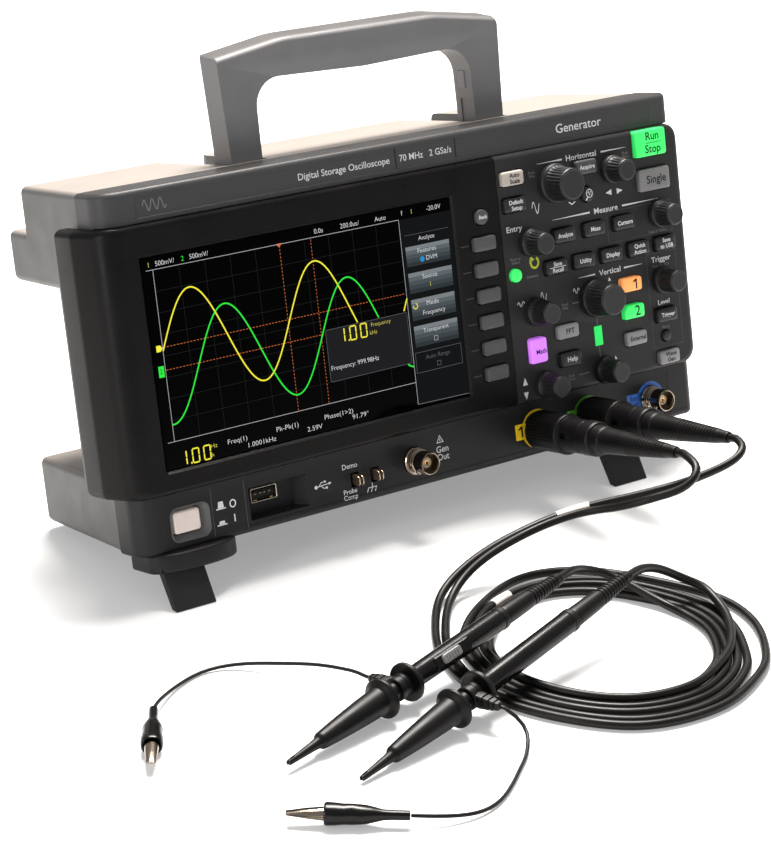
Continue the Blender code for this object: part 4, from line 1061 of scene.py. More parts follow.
def build_strip_marks():
    """Print on the cap strip over the display and on the connector strip under it."""
    marks = Lettering("strip_marks", y=3.3)
    z0, z1 = STRIP_TEXT[2:]
    for x in (-4.3, 27.7):
        marks.line([(x, z0 + 0.6), (x, z1 - 0.6)], 0.35, DEEP)
    wave = [(-130 + 0.25 * i, 142.7 + 2.2 * math.sin(i * 0.42)) for i in range(45)]
    marks.line(wave, 0.5, PRINT_DIM)
    marks.text("Digital Storage Oscilloscope", -7.5, 142.4, 2.9, PRINT, 1.03, 0.02, align="RIGHT")
    marks.text("70 MHz   2 GSa/s", 11.6, 142.4, 2.9, PRINT, 0.98, 0.02)
    marks.text("Generator", 97, 142.4, 4.1, PRINT, 1.08, 0.03)
    marks.y = 3.0
    # Beside the power key: button out and a ring for off, button in and a stroke for on
    for x, z, top in ((-111.3, 14.8, 2.7), (-111.5, 8.0, 1.3)):
        marks.shape([(x - 2.4, z - 1.6), (x + 2.4, z - 1.6), (x + 2.4, z - 1.1),
                     (x - 2.4, z - 1.1)], PRINT)
        marks.shape([(x - 1.5, z - 1.0), (x + 1.5, z - 1.0), (x + 1.15, z - 1.0 + top),
                     (x - 1.15, z - 1.0 + top)], PRINT)
    marks.line(ring(-105.4, 14.5, 1.35, 1.5, 24), 0.55, PRINT, closed=True)
    marks.line([(-105.2, 9.9), (-105.2, 6.7)], 0.6, PRINT)
    # Trident mark of the USB port
    for width, finish, *points in (
            (0.36, PRINT, (-63.4, 11.7), (-57.0, 12.2)),
            (0.32, PRINT, (-62.3, 11.8), (-60.9, 13.3), (-59.4, 13.4)),
            (0.32, PRINT, (-61.2, 11.9), (-59.9, 10.6), (-58.8, 10.6))):
        marks.line(points, width, finish)
    marks.shape(circle(-63.7, 11.7, 0.8, 20), PRINT)
    marks.shape(circle(-59.0, 13.4, 0.5, 14), PRINT)
    marks.shape(rectangle(-58.3, 10.6, 0.95, 0.95), PRINT)
    marks.shape([(-57.1, 12.8), (-55.7, 12.3), (-57.1, 11.5)], PRINT)
    # Probe compensation, with its ground mark
    marks.text("Demo", -45.7, 17.1, 2.3, PRINT, 1.0)
    marks.text("Probe\nComp", -46.6, 4.9, 2.1, PRINT, 1.02)
    for width, finish, *points in (
            (0.32, PRINT, (-35.0, 7.6), (-35.0, 5.6)),
            (0.32, PRINT, (-37.4, 5.6), (-32.6, 5.6))):
        marks.line(points, width, finish)
    for x in (-37.1, -35.0, -32.9):
        marks.line([(x, 5.6), (x - 0.9, 3.6)], 0.32, PRINT)
    # Warning triangle and names of the sockets, with their coloured rings and tags
    marks.line([(1.2, 17.2), (4.6, 17.2), (2.9, 20.2)], 0.32, PRINT, closed=True)
    marks.shape(rectangle(2.9, 18.3, 0.35, 1.2), PRINT)
    marks.text("Gen\nOut", 3.8, 12.2, 2.9, PRINT, 1.0)
    for x, finish in ((56.0, YELLOW), (86.0, LIME)):
        marks.line(ring(x + 1, SOCKET_Z, 8.3, 8.3, 48), 1.0, finish, closed=True)
        marks.shape(rectangle(x - 8.4, 12.2, 6.0, 7.2, 0.3, 2), finish, -0.01)
    marks.line(ring(124.5, SOCKET_Z, 6.7, 6.7, 48), 2.6, BLUE, closed=True)
    marks.shape([(110.4, 8.8), (120.0, 8.8), (120.0, 15.8), (110.4, 15.8)], BLUE)
    for width, finish, *points in (
            (0.3, DEEP, (135.5, 1.5), (135.5, 23.5)), (0.3, DEEP, (-98.5, 3.4), (146, 3.4)),
            (0.3, PRINT_LINE, (-115.5, 2.5), (-115.5, 23)),
            (0.3, PRINT_LINE, (-99.2, 2.5), (-99.2, 23))):
        marks.line(points, width, finish)
    marks.done()
    tags = Lettering("tag_digits", lift=0.12, y=3.0)
    tags.one(47.3, 12.2, 5.0, PRINT_DARK)
    tags.text("2", 77.3, 12.2, 4.8, PRINT_DARK, 1.1, 0.09)
    tags.text("Ext\nTrig", 114.2, 12.3, 2.3, PRINT_DARK, 1.0, 0.02)
    tags.done()


def build_power_and_ports():
    """Power key, USB port and probe compensation terminals."""
    cap = stepped(bmesh.new(), *POWER,
                  [(y, 12.7 - 2 * s, 9.2 - 2 * s, 1.2)
                   for y, s in ((9.0, 0), (3.8, 0), (3.3, 0.12), (2.95, 0.45), (2.8, 0.9))], 4)
    # A lining of the power key's well in a lighter grey: painted light on its walls.
    lit_well_loops = power_well(
        (3.1, 1.6, 19.4, 15.0, 3.8), (2.75, 1.6, 19.0, 14.6, 3.6), (2.7, 1.6, 18.5, 14.1, 3.4),
        (2.95, 1.5, 17.9, 13.5, 3.1), (4.9, 0.6, 14.4, 10.8, 1.9), (5.2, 0.4, 13.9, 10.4, 1.6),
        (6.0, 0.4, 13.9, 10.4, 1.6), (6.0, 1.6, 19.4, 15.0, 3.8))
    add("power_frame", loft(bmesh.new(), lit_well_loops + lit_well_loops[:1], False), WELL_LIGHT,
        sharp=40)
    key = add("power_cap", cap, KEY_WHITE, "power_button", sharp=30)
    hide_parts("power_button")
    x, z = -87.1, 14.0
    bm = bmesh.new()
    stepped(bm, x, z, ((20, 12.4, 5.2, 0.5), (7.6, 12.4, 5.2, 0.5), (7.4, 12.7, 5.5, 0.6),
                       (7.4, 13.1, 5.9, 0.7), (7.6, 13.3, 6.1, 0.8), (21, 13.3, 6.1, 0.8)))
    shell = add("usb_shell", bm, STEEL, sharp=30)
    tongue = bmesh.new()
    box(tongue, (x - 5.4, 8.2, z + 0.4), (x + 5.4, 19, z + 2.0))
    add("usb_tongue", tongue, DEEP, edge=0.2)
    leaves = bmesh.new()
    for k in (-3.5, -1, 1, 3.5):
        box(leaves, (x + k - 0.5, 8.6, z + 0.2), (x + k + 0.5, 17, z + 0.5))
    for k in (-4, 4):
        box(leaves, (x + k - 0.8, 8.4, z - 2.5), (x + k + 0.8, 13, z - 2.2))
    add("usb_contacts", leaves, BRASS)
    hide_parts("usb_port")
    lugs = bmesh.new()
    outline = rounded([(4.5, 8.6, 0), (-1.0, 8.6, 0.6), (-2.0, 9.4, 0.8), (-2.0, 12.2, 0.9),
                       (-0.8, 13, 0.8), (4.5, 13, 0)], 3)
    for lug_x in LUG_X:
        for side in (-0.95, 0.95):
            prism(lugs, outline, "x", lug_x + side - 0.25, lug_x + side + 0.25)
        box(lugs, (lug_x - 1.0, 3.6, 8.8), (lug_x + 1.0, 4.2, 12.8))
    terminals = add("terminal_lugs", lugs, COPPER, edge=0.15, segments=2)
    add("terminal_base", box(bmesh.new(), (-47.25, 6.4, 7.0), (-29.25, 9.0, 14.5)), DEEP)
    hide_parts("probe_comp_terminals")


def build_bnc(name, x):
    """Bayonet socket: flange, plated barrel with two lugs, insulator and contact."""
    place = outward(x, SOCKET_Z, STRIP_Y)
    profile = [(4.4, -6), (4.4, 0.1), (6.0, 0.1), (6.2, 0.3), (6.2, 1.1), (5.9, 1.5), (5.2, 1.6),
               (5.6, 3.0), (5.6, 3.5), (4.9, 3.7), (5.0, 4.0), (5.0, 4.5), (4.75, 4.7), (4.75, 5.1),
               (5.0, 5.3), (5.0, 10.9), (4.8, 11.4), (4.55, 11.5), (4.3, 11.3), (4.25, 10.4),
               (4.25, 4.2)]
    bm = lathe(bmesh.new(), profile, 72)
    for side in (0.6, 0.6 + math.pi):
        loops = []
        for reach, r in ((4.6, 1.05), (5.9, 1.05), (6.15, 0.8)):
            centre = Vector((math.cos(side), math.sin(side), 0)) * reach + Vector((0, 0, 7.6))
            tangent = Vector((-math.sin(side), math.cos(side), 0))
            loops.append([centre + tangent * r * math.cos(t) + Vector((0, 0, r * math.sin(t)))
                          for t in (2 * math.pi * i / 18 for i in range(18))])
        loft(bm, loops)
    shell = add(f"{name}_shell", bm, PLATING, place=place, sharp=30)
    core = [(4.3, 3.4), (4.3, 4.4), (3.2, 4.6), (2.7, 4.7), (2.45, 5.0), (2.4, 8.2), (2.2, 8.5),
            (1.5, 8.5), (1.4, 4.0)]
    turned(f"{name}_insulator", core, 40, INSULATOR, place=place)
    pin = [(1.35, 3.0), (1.35, 8.2), (1.15, 8.45), (0.75, 8.4), (0.68, 6.5), (0.0, 6.4)]
    turned(f"{name}_contact", pin, 28, BRASS, place=place)
    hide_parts(name)


# ---------------------------------------------------------------------------- faces, keys, knobs

SCREEN_MIDDLE = (-57.7, 78.5)
WIDE, LOW, ROUND = 12.0, 6.3, 6.8  # the usual key's width and height, and a round key's diameter
KEY_CROWN = 0.16  # how far the middle of a key's face stands out
SOFT_ROWS = [42.2 + 11.5 * i for i in range(6)]  # z of each softkey
# name: (finish, slot, proud, cells of (x, z, width, height),
#        legends of (text, dx, dz, size, finish))
W, D = PRINT, PRINT_DARK
KEYS = {
    "back_key": (KEY_SOFT, "key_dark", 1.6, [(35.0, 111.4, ROUND, ROUND)],
                 [("Back", 0, 0, 1.5, W)]),
    "softkeys": (KEY_SOFT, "softkey_grey", 2.0, [(35.0, z, WIDE, LOW) for z in SOFT_ROWS], []),
    "auto_scale_key": (KEY_PALE, "key_white", 2.0, [(53.6, 125.5, WIDE, LOW)],
                       [("Auto", 0.6, 1.25, 1.75, D), ("Scale", 0.6, -1.45, 1.75, D)]),
    "default_setup_key": (KEY_DARK, "key_dark", 2.0, [(53.6, 113.7, WIDE, LOW)],
                          [("Default", 0, 1.25, 1.7, W), ("Setup", 0.3, -1.4, 1.7, W)]),
    "acquire_key": (KEY_SOFT, "key_dark", 2.4, [(95.2, 124.2, WIDE, LOW)],
                    [("Acquire", 0, 0, 1.75, W)]),
    "zoom_key": (KEY_DARK, "key_dark", 2.0, [(95.1, 111.9, ROUND, ROUND)], []),
    "run_stop_key": (KEY_GREEN, "key_green", 2.0, [(134.0, 129.4, 18.2, 12.0)],
                     [("Run", 0.8, 2.9, 3.3, D), ("Stop", 0.8, -2.9, 3.3, D)]),
    "single_key": (KEY_SINGLE, "key_grey", 2.0, [(134.6, 112.7, 18.2, 10.1)],
                   [("Single", 0.6, 0, 3.3, D)]),
    "measure_keys": (KEY_DARK, "key_dark", 2.4, [(x, 96.0, WIDE, LOW) for x in (79.3, 96.8, 114.3)],
                     [("Analyze", 0, 0, 1.75, W), ("Meas", 17.5, 0, 1.75, W),
                      ("Cursors", 35, 0, 1.75, W)]),
    "file_keys": (KEY_DARK, "key_dark", 2.4, [(73.3 + 16.1 * i, 82.8, WIDE, LOW) for i in range(5)],
                  [("Save", 0, 1.35, 1.7, W), ("Recall", 0, -1.45, 1.7, W),
                   ("Utility", 16.1, 0, 1.75, W), ("Display", 32.2, 0, 1.75, W),
                   ("Quick", 48.3, 1.3, 1.7, W), ("Action", 48.3, -1.4, 1.7, W),
                   ("Save", 64.4, 1.3, 1.7, W), ("to USB", 64.4, -1.4, 1.7, W)]),
    "intensity_key": (KEY_GREEN, "key_green", 1.6, [(50.9, 82.7, 6.0, 6.0)], []),
    "channel_1_key": (KEY_ORANGE, "key_orange", 2.0, [(115.6, 67.3, WIDE, LOW)],
                      [("1", 1.4, 0, 4.2, D)]),
    "channel_2_key": (KEY_GREEN, "key_green", 2.0, [(115.8, 54.8, WIDE, LOW)],
                      [("2", 1.6, 0, 4.2, D)]),
    "trigger_key": (KEY_DARK, "key_dark", 2.4, [(135.0, 49.9, 11.8, LOW)],
                    [("Trigger", 0, 0, 1.75, W)]),
    "force_key": (KEY_DARK, "key_dark", 1.4, [(134.5, 39.9, 5.0, 5.0)], []),
    "fft_key": (KEY_GREY, "key_grey", 2.0, [(76.5, 53.0, WIDE, LOW)], [("FFT", 0.6, 0, 2.1, D)]),
    "math_key": (KEY_VIOLET, "key_violet", 2.0, [(58.9, 47.6, 9.2, 11.2)],
                 [("Math", 0.8, -0.6, 1.9, D)]),
    "external_key": (KEY_GREY, "key_grey", 2.0, [(115.9, 42.4, WIDE, LOW)],
                     [("External", 0.4, 0, 1.8, D)]),
    "help_key": (KEY_DARK, "key_dark", 2.4, [(76.6, 40.4, WIDE, LOW)], [("Help", 0, 0, 2.0, W)]),
    "generator_key": (KEY_GREY, "key_grey", 2.0, [(134.6, 30.2, WIDE, LOW)],
                      [("Wave", 0.4, 1.25, 1.75, D), ("Gen", 0.4, -1.35, 1.75, D)]),
}
CLIPPED = {"channel_1_key": -1, "channel_2_key": 1}  # lower or upper left corner cut off
BIG_KNOBS = {"horizontal_scale_knob": (77.0, 119.7), "vertical_scale_knob": (94.4, 64.8)}
SMALL_KNOBS = {
    "horizontal_position_knob": (110.6, 120.8), "entry_knob": (60.8, 95.8),
    "cursors_knob": (136.5, 96.5), "trigger_level_knob": (135.2, 66.0),
    "math_scale_knob": (60.4, 64.8), "math_position_knob": (62.0, 31.3),
    "vertical_position_knob": (96.7, 31.2),
}


def key_outline(cell, shrink, clip=0):
    """A key's outline, drawn in by shrink; clip cuts its lower (-1) or upper (1) left corner."""
    x, z, width, height = cell
    if width == height:
        return circle(x, z, width / 2 - shrink, 32)
    if not clip:
        return rectangle(x, z, width - 2 * shrink, height - 2 * shrink,
                         max(0.2, 1.3 - shrink * 0.4), 5)
    u, v = width / 2 - shrink, height / 2 - shrink
    round_to = max(0.2, 1.3 - shrink * 0.4)
    corners = [(-u, -v, round_to), (u, -v, round_to), (u, v, round_to), (-u, v, round_to)]
    notch = [(-u, clip * max(0.3, v - 2.6), 0.1), (-u + 2.0, clip * v, 0.1)]
    corners[0 if clip < 0 else 3:1 if clip < 0 else 4] = notch if clip < 0 else notch[::-1]
    return rounded([(x + a, z + b, r) for a, b, r in corners], 5)


def build_keys():
    """Key caps with their legends; keys in a row share a web behind the panel."""
    for name, (finish, slot_name, proud, cells, legends) in KEYS.items():
        bm = bmesh.new()
        for cell in cells:
            small = min(cell[2:]) < 6
            steps = [(4.0, 0), (-proud + 0.75, 0), (-proud + 0.38, 0.08), (-proud + 0.14, 0.28),
                     (-proud, 0.62), (-proud - 0.1, 1.1 if small else 1.3),
                     (-proud - KEY_CROWN, 1.8 if small else 2.2)]
            loft(bm, [at(y, key_outline(cell, s, CLIPPED.get(name, 0))) for y, s in steps])
        cap = add(f"{name}_cap", bm, finish, name, sharp=38)
        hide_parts(name)
        if len(cells) > 1:
            xs, zs = [c[0] for c in cells], [c[1] for c in cells]
            web = box(bmesh.new(), (min(xs) - 3, 9.0, min(zs) - 2),
                      (max(xs) + 3, 10.2, max(zs) + 2))
            for cell in cells:
                prism(web, rectangle(cell[0], cell[1], cell[2] - 2, cell[3] - 2), "y", 3.5, 9.1)
            add(f"{name}_web", web, KEY_DARK, name)
        marks = Lettering(f"{name}_legend", name, 0.05, slot_name, -proud - KEY_CROWN)
        x, z = cells[0][:2]
        for words, dx, dz, size, ink in legends:
            if words == "1":
                marks.one(x + dx, z + dz, size * 1.12, ink)
            else:
                marks.text(words, x + dx, z + dz, size * 1.12, ink, 1.0, 0.055)
        if name == "run_stop_key":
            marks.line([(x - 3.2, z), (x + 5.8, z)], 0.25, D)
        if name == "file_keys":
            marks.line([(x - 4.6, z), (x + 4.6, z)], 0.28, W)
        if name == "zoom_key":
            marks.line(ring(x + 0.2, z + 0.4, 1.7, 1.8, 28), 0.4, W, closed=True)
            marks.line([(x - 0.9, z - 1.2), (x - 1.9, z - 2.5)], 0.6, W)
            marks.line([(x - 0.6 + 0.08 * i, z + 0.4 + 0.8 * math.sin(i * 0.42))
                        for i in range(22)], 0.28, W)
        marks.done()


def build_knob(name, place, big):
    """Fluted knob with a skirt, a crisp rim and a dished face."""
    base, grip, proud, flutes = (8.8, 7.0, 14.0, 30) if big else (6.4, 4.8, 12.0, 22)

    def ripple(angle, r, z):
        """Flutes round the grip, which fade out at its ends."""
        if z < 3.9 or z > proud - 1.2:
            return r
        depth = 0.42 * min(1, (z - 3.9) / 2.0, (proud - 0.9 - z) / 1.2)
        return r - depth * (0.5 + 0.5 * math.cos(angle * flutes)) ** 1.4

    profile = [(2.9, -3.0), (2.9, 0.3), (base - 0.3, 0.3), (base, 0.6), (base, 2.5),
               (base - 0.2, 3.0), (base - 0.8, 3.4), (grip + 1.0, 3.8), (grip + 0.75, 4.4),
               (grip + 0.6, 6.0), (grip + 0.35, 8.5), (grip + 0.15, proud - 2.4),
               (grip + 0.1, proud - 1.1), (grip, proud - 0.6), (grip - 0.25, proud - 0.2),
               (grip - 0.5, proud - 0.08)]
    spot = outward(*place)
    knob = turned(f"{name}_grip", profile, flutes * 8, KNOB, name, spot, 45, ripple)
    r = grip - 0.55
    face = [(r, proud - 1.2), (r, proud - 0.12), (r - 0.12, proud), (r - 0.45, proud),
            (r - 0.8, proud - 0.18), (r - 1.6, proud - 0.3), (0.0, proud - 0.34)]
    turned(f"{name}_face", face, 64, KNOB_FACE, name, spot, 50)
    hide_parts(name)


def face_plate(name, edges, cells, shafts, finish):
    """Half of the front, lofted through edges of (y, left, right, inset, left radius,
    right radius), with openings for the cells and holes for the shafts.
    """
    loops = []
    for y, left, right, inset, round_left, round_right in edges:
        outline = rounded([(left, 25 + inset, round_left), (right, 25 + inset, round_right),
                           (right, 136 - inset, round_right), (left, 136 - inset, round_left)], 6)
        loops.append(at(y, outline))
    plate = add(name, loft(bmesh.new(), loops), finish)
    cut(plate, box(bmesh.new(), (-150.3, 8, 0), (150.3, 50, 200)))
    holes = bmesh.new()
    for cell, clip in cells:
        loops = [key_outline(cell, s, clip) for s in (-0.75, -0.35, -0.35)]
        loft(holes, [at(y, loop) for loop, y in zip(loops, (-0.4, 0.35, 20))])
    for x, z in shafts:
        prism(holes, circle(x, z, 3.6, 24), "y", -10, 20)
    cut(plate, holes, sharp=28)
    return plate


def build_faces():
    """The display's bezel and the control panel, side by side."""
    cells = [(c, CLIPPED.get(n, 0)) for n, k in KEYS.items() for c in k[3]]
    left = [c for c in cells if c[0][0] < 45]
    right = [c for c in cells if c[0][0] > 45]
    sides = ((0, 142.8, 2.3), (0.25, 144.9, 1.3), (0.9, 147.2, 0.5), (2.3, 149.6, 0.05),
             (4.6, 151.8, 0), (8, 153.6, 0), (16.8, 156.5, 0), (18.4, 157, 0), (30, 157, 0))
    bezel = face_plate("display_surround", [(y, -x, 45.35, e, 3.2, 0.05) for y, x, e in sides],
                       left, [], BEZEL)
    window = bmesh.new()
    stepped(window, *SCREEN_MIDDLE, ((-0.6, 158.5, 90.5, 1.5), (0.1, 157.9, 89.9, 1.3),
                                     (1.15, 156.0, 88.0, 0.5), (20, 155.7, 87.7, 0.3)))
    cut(bezel, window, sharp=28)
    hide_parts("display_bezel")
    sides = ((0, 149.0, 2.3), (0.25, 150.4, 1.3), (0.9, 151.6, 0.5), (2.3, 152.7, 0.05),
             (5, 153.8, 0), (8, 154.6, 0), (16.8, 156.8, 0), (18.4, 157.2, 0), (30, 157.2, 0))
    shafts = list(BIG_KNOBS.values()) + list(SMALL_KNOBS.values())
    panel = face_plate("control_plate", [(y, 45.65, x, e, 0.05, 6.5) for y, x, e in sides],
                       right, shafts, PANEL)
    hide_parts("control_panel")


def build_panel_marks():
    """Print on the control panel, the trigger level light and the ticks beside the softkeys."""
    marks = Lettering("panel_marks")

    def heading(words, x, z, left, right):
        """Words between two lines, which taper away from them."""
        marks.text(words, x, z, 2.6, W, 1.14, 0.035)
        (a, b), (c, d) = left, right
        marks.line([(a, z + 0.1), (b, z + 0.1)], 0.12, W, end_width=0.8)
        marks.line([(c, z + 0.1), (d, z + 0.1)], 0.8, W, end_width=0.12)

    heading("Horizontal", 94.2, 129.2, (68.9, 83.2), (105.8, 120.5))
    heading("Measure", 105.7, 103.3, (74.5, 96.2), (115.4, 137.1))
    heading("Vertical", 104.9, 75.2, (86.3, 96.1), (113.2, 124.1))
    for words, x, z, size in (
            ("Entry", 52.7, 103.0, 2.6), ("Trigger", 135.6, 75.6, 2.5),
            ("Level", 135.1, 55.6, 2.2)):
        marks.text(words, x, z, size, W, 1.14, 0.035)
    for words, x, z in (("Push\nFine", 65.4, 125.2), ("Push\nZero", 119.9, 125.9),
                        ("Push to\nSelect", 51.9, 89.0), ("Push to Select", 135.2, 88.6),
                        ("Push for 50%", 135.4, 72.6), ("Intensity", 60.4, 80.7),
                        ("Force", 135.1, 43.9), ("Push\nFine", 77.2, 64.0),
                        ("Push\nZero", 77.2, 31.5)):
        marks.text(words, x, z, 1.3, PRINT_DIM, 1.05, 0.006)
    # Frames round the groups, and the wave marks at the knobs
    marks.line([(105.7, 88), (105.7, 101.8), (144.3, 101.8), (144.3, 88), (106, 87.6)], 0.22,
               PRINT_LINE, closed=True)
    marks.line([(126.9, 78.8), (144.7, 78.8), (144.7, 35.0), (126.9, 35.0)], 0.22, PRINT_LINE,
               closed=True)

    def wave(x, z, width, height, turns=1.5):
        """A small sine mark about (x, z)."""
        marks.line([(x + width * (i / 30 - 0.5),
                     z + height / 2 * math.sin(turns * math.tau * i / 30))
                    for i in range(31)], 0.34, W)

    wave(65.9, 110.4, 4.2, 5.4, 1.1)
    wave(52.5, 69.5, 4.0, 2.0)
    wave(65.6, 70.4, 3.2, 4.4, 1.1)
    wave(84.4, 69.8, 3.6, 2.2)
    # Arrows, ticks beside the trigger's light, and the entry knob's turning arrow
    for x, z, a, b in ((108.4, 110.5, -1.9, 1.3), (114.6, 110.4, 1.9, 1.3)):
        marks.shape([(x + a, z), (x - a * 0.8, z + b), (x - a * 0.8, z - b)], W)
    for x, z, up in ((50.5, 34.6, 2.0), (50.5, 28.7, -2.0)):
        marks.shape([(x, z + up), (x + 1.4, z - up * 0.7), (x - 1.4, z - up * 0.7)], W)
    for x, z in ((104.1, 71.6), (103.6, 35.4)):
        marks.shape([(x, z + 1.0), (x + 0.85, z - 0.7), (x - 0.85, z - 0.7)], W)
    marks.line([(84.9, 109.9), (86.6, 108.6), (88.5, 109.6)], 0.5, W)
    for a, b in (((94.7, 56.6), (94.7, 52.4)), ((94.7, 42.4), (94.7, 37.6)),
                 ((81.5, 64.6), (85.2, 64.6)), ((81.5, 31.9), (87.6, 31.9))):
        marks.line([a, b], 0.34, PRINT_DIM)
    marks.line(arc(62.3, 86.5, 2.15, 2.3, range(-215, 70, 12)), 1.0, PRINT_LIME)
    marks.shape([(60.2, 90.0), (59.3, 86.5), (62.2, 87.9)], PRINT_LIME)
    marks.done()
    led = stepped(bmesh.new(), 94.7, 47.4,
                  ((2, 4.5, 9.0, 0.5), (-0.2, 4.5, 9.0, 0.5), (-0.35, 4.1, 8.6, 0.5)))
    add("level_light", led, LED_GREEN)
    lines = Lettering("bezel_marks")
    for z in SOFT_ROWS:
        lines.line([(22.6, z + 0.2), (27.2, z + 0.2)], 0.3, PRINT_LINE)
    lines.done()


# ---------------------------------------------------------------------------- display

SEGMENTS = {"0": "abcdef", "1": "bc"}  # lit bars of each digit
# colour: (words, x, z, size)
READOUTS = {
    "dim_yellow": [
        ("1", -132.0, 119.1, 2.1), ("1", -0.6, 119.4, 2.1), ("1", 5.5, 87.0, 2.1),
        ("Frequency", -22.7, 75.2, 1.8), ("kHz", -26.9, 71.9, 1.8), ("Hz", -112.0, 40.6, 1.9),
        ("k", -112.9, 37.0, 1.9)],
    "white": [
        ("500mV/", -124.4, 119.1, 2.1), ("500mV/", -108.2, 119.2, 2.1), ("0.0s", -49.0, 119.2, 2.1),
        ("200.0us/", -33.1, 119.2, 2.1), ("Auto", -17.1, 119.2, 2.1), ("f", -5.8, 119.5, 2.1),
        ("-20.0V", 11.2, 119.4, 2.1), ("Analyze", 5.9, 107.5, 2.0), ("Features", 5.4, 102.2, 2.1),
        ("DVM", 7.6, 98.5, 2.1), ("Source", 5.6, 90.9, 2.1), ("Mode", 5.6, 79.2, 2.1),
        ("Frequency", 5.9, 75.2, 2.1), ("Transparent", 5.9, 67.6, 2.0),
        ("Frequency: 999.98Hz", -38.0, 60.6, 2.1), ("Freq(1)", -100.5, 40.5, 2.1),
        ("1.0001kHz", -88.9, 37.2, 2.1), ("Pk-Pk(1)", -75.5, 40.7, 2.1),
        ("2.59V", -62.0, 37.5, 2.1), ("Phase(1>2)", -49.2, 40.8, 2.1),
        ("91.79°", -38.2, 38.0, 2.1)],
    "green": [
        ("2", -115.9, 119.1, 2.1)],
    "dim": [
        ("Auto Range", 5.5, 56.0, 2.0)],
    "box": [
        ("2", -132.2, 75.5, 2.2)],
}


def seven(sheet, words, x, z, height, finish):
    """Seven-segment digits; x is the left edge."""
    w, t = height * 0.53, height * 0.1
    for char in words:
        if char == ".":
            sheet.shape([(x - t, z - t * 0.3), (x + t * 0.1, z - t * 0.3), (x + t * 0.1, z + t),
                         (x - t, z + t)], finish)
            x += t * 0.9
            continue
        gap, h = t * 0.28, height / 2
        bars = {"a": ((gap, height), (w - gap, height)), "d": ((gap, 0), (w - gap, 0)),
                "b": ((w, h + gap), (w, height - gap)), "c": ((w, gap), (w, h - gap)),
                "e": ((0, gap), (0, h - gap)), "f": ((0, h + gap), (0, height - gap))}
        for key in SEGMENTS[char]:
            (a, b), (c, d) = bars[key]
            sheet.line([(x + a, z + b), (x + c, z + d)], t, finish)
        x += w + t * 4.2


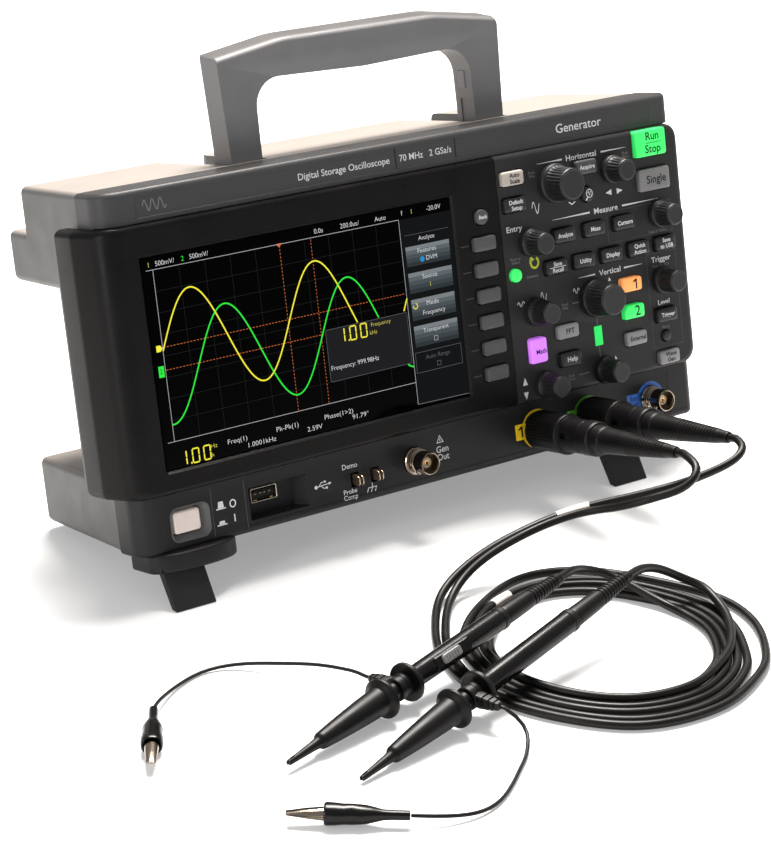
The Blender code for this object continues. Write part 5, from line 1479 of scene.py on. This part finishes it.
def build_screen():
    """The lit display: glass, menu, grid, cursors, the two traces and the readouts."""
    front = 1.2  # y of the glass behind the bezel's face
    glass = stepped(bmesh.new(), *SCREEN_MIDDLE,
                    ((front, 154.9, 86.9, 0.4), (1.45, 155.3, 87.3, 0.4), (8.3, 155.3, 87.3, 0.4)))
    panel = add("display_glass_panel", glass, GLASS, sharp=30)
    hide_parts("display_module")
    s = SCREEN
    reading = rectangle(-29.9, 66.1, 42.6, 22.2, 0.8, 3)
    back = Lettering("screen_back", ROOT, 0.03, "screen", front)
    back.shape(reading, s["box"])
    back.shape([(-7.2, 36.3), (20.0, 36.0), (20.0, 116.8), (-7.2, 116.8)], s["menu"], 0.01)
    for low, high in ((96.1, 104.7), (84.5, 93.3), (72.7, 81.8), (61.1, 70.2)):
        tall = (high - low) / 5
        for k in range(5):
            back.shape(rectangle(6.0, high - tall * (k + 0.5), 23.4, tall), s[f"key_{k}"])
    back.shape(rectangle(-132.1, 75.5, 2.6, 4.6), s["green"])
    back.done()
    draw = Lettering("screen_lines", ROOT, 0.05, "screen", front)
    left, right, low, high = -130.2, -7.7, 46.2, 117.0  # the grid's edges
    popup_left, popup_right, popup_low, popup_high = -51.2, -8.6, 55.0, 77.2

    def popup(x, z):
        """Whether the reading in front of the traces covers this spot."""
        return popup_left < x < popup_right and popup_low < z < popup_high

    for i in range(1, 10):
        x = left + (right - left) * i / 10
        broken = popup_left < x < popup_right
        for a, b in [(low, popup_low), (77.3, high)] if broken else [(low, high)]:
            draw.line([(x, a), (x, b)], 0.14, s["grid"])
    for i in range(1, 8):
        z = low + (high - low) * i / 8
        end = -51.3 if popup_low < z < popup_high else right
        draw.line([(left, z), (end, z)], 0.14, s["grid"])
    for a, b in (((-133.4, high), (right, high)), ((-133.4, low), (right, low)),
                 ((left, low), (left, high)), ((right, 36.5), (right, high))):
        draw.line([a, b], 0.24, s["frame"])
    draw.line([(right, 36.5), (20.0, 35.9)], 0.3, s["line"])
    draw.line([(-6.4, 49.9), (18.2, 49.9), (18.2, 58.7), (-6.4, 58.7)], 0.2, s["dim"], closed=True)
    draw.line([(-5.5, 109.7), (17.9, 109.7)], 0.16, s["dim"])
    draw.line(reading, 0.2, s["dim"], closed=True)
    # Dashed cursors, and the mark of the trigger's time
    for x in (-69.1, -53.4):
        z = low + 0.4
        while z < high - 0.6:
            if not popup(x, z):
                draw.line([(x, z), (x, z + 0.8)], 0.24, s["orange"])
            z += 1.5
    for z, end in ((85.2, right), (75.8, -51.4)):
        x = left + 0.4
        while x < end - 0.6:
            draw.line([(x, z), (x + 0.9, z)], 0.24, s["orange"])
            x += 1.6
    draw.shape([(-70.7, 117.3), (-67.7, 117.3), (-69.2, 115.6)], s["orange"])
    draw.line(rectangle(5.5, 63.4, 1.9, 1.9), 0.22, s["frame"], closed=True)
    draw.line(rectangle(5.7, 52.3, 1.9, 1.9), 0.22, s["dim"], closed=True)
    draw.line(arc(-3.6, 78.9, 1.1, 1.15, range(-200, 90, 20)), 0.55, s["dim_yellow"])
    draw.shape(circle(2.6, 98.4, 1.15, 18), s["blue"])
    draw.done()
    traces = Lettering("screen_traces", ROOT, 0.07, "screen", front)
    for colour, mean, size, peak, period in (
            ("green", 75.4, 22.2, -98.9, 61.2), ("yellow", 84.8, 22.4, -114.4, 61.4)):
        run = []
        for i in range(321):
            x = left + (right - left) * i / 320
            z = mean + size * math.cos(2 * math.pi * (x - peak) / period)
            if popup(x, z):
                if len(run) > 1:
                    traces.line(run, 0.62, s[colour])
                run = []
            else:
                run.append((x, z))
        if len(run) > 1:
            traces.line(run, 0.62, s[colour])
    traces.shape([(-133.2, 86.3), (-131.3, 86.3), (-130.3, 85.0), (-131.3, 83.7), (-133.2, 83.7)],
                 s["yellow"])
    traces.done()
    text = Lettering("screen_text", ROOT, 0.09, "screen", front)
    for ink, readouts in READOUTS.items():
        for words, x, z, size in readouts:
            text.text(words, x, z, size, s[ink], 1.0 if z > 45 else 1.15, -0.03)
    seven(text, "1.00", -44.9, 70.8, 5.8, s["yellow"])
    seven(text, "1.00", -128.6, 35.7, 5.8, s["yellow"])
    text.done()


build_case()
build_handle()
build_legs()
build_housing()
build_front_pads()
build_strip_marks()
build_power_and_ports()
for socket, x in SOCKETS.items():
    build_bnc(f"bnc_{socket}", x)
build_faces()
build_keys()
for knob_name, spot in (BIG_KNOBS | SMALL_KNOBS).items():
    build_knob(knob_name, spot, knob_name in BIG_KNOBS)
build_panel_marks()
build_screen()

# ---------------------------------------------------------------------------- stage and light

bm = bmesh.new()
bmesh.ops.create_grid(bm, x_segments=1, y_segments=1, size=6.0)
floor_mesh = bpy.data.meshes.new("floor")
bm.to_mesh(floor_mesh)
bm.free()
floor = bpy.data.objects.new("floor", floor_mesh)
floor.location = (0, 0, -0.0002)  # just clear of the feet
white = material("floor_white", (0.64, 0.64, 0.64), 0.9, specular=0.03, bump=0.0, mottle=0.0,
                 patch=400, glow=0.45)
floor_mesh.materials.append(white)
scene.collection.objects.link(floor)

world = bpy.data.worlds.new("studio")
scene.world = world
world.use_nodes = True
world.node_tree.nodes["Background"].inputs["Color"].default_value = (1.0, 1.0, 1.0, 1)
world.node_tree.nodes["Background"].inputs["Strength"].default_value = 0.42


def softbox(name, place, target, size, power, colour):
    """A rectangular lamp at a place, turned to a target."""
    data = bpy.data.lights.new(name, "AREA")
    data.shape = "RECTANGLE"
    data.size, data.size_y = size
    data.energy = power
    data.color = colour
    light = bpy.data.objects.new(name, data)
    light.location = place
    light.rotation_euler = (Vector(target) - Vector(place)).to_track_quat("-Z", "Y").to_euler()
    scene.collection.objects.link(light)


softbox("overhead", (0.33, 0.40, 1.4), (0, -0.05, 0.05), (0.7, 0.7), 86, (1.0, 0.955, 0.915))
softbox("left_strip", (-1.35, -0.42, 0.40), (0, -0.1, 0.08), (0.22, 0.7), 6.0, (1.0, 0.98, 0.96))

scene.view_settings.view_transform = "Standard"
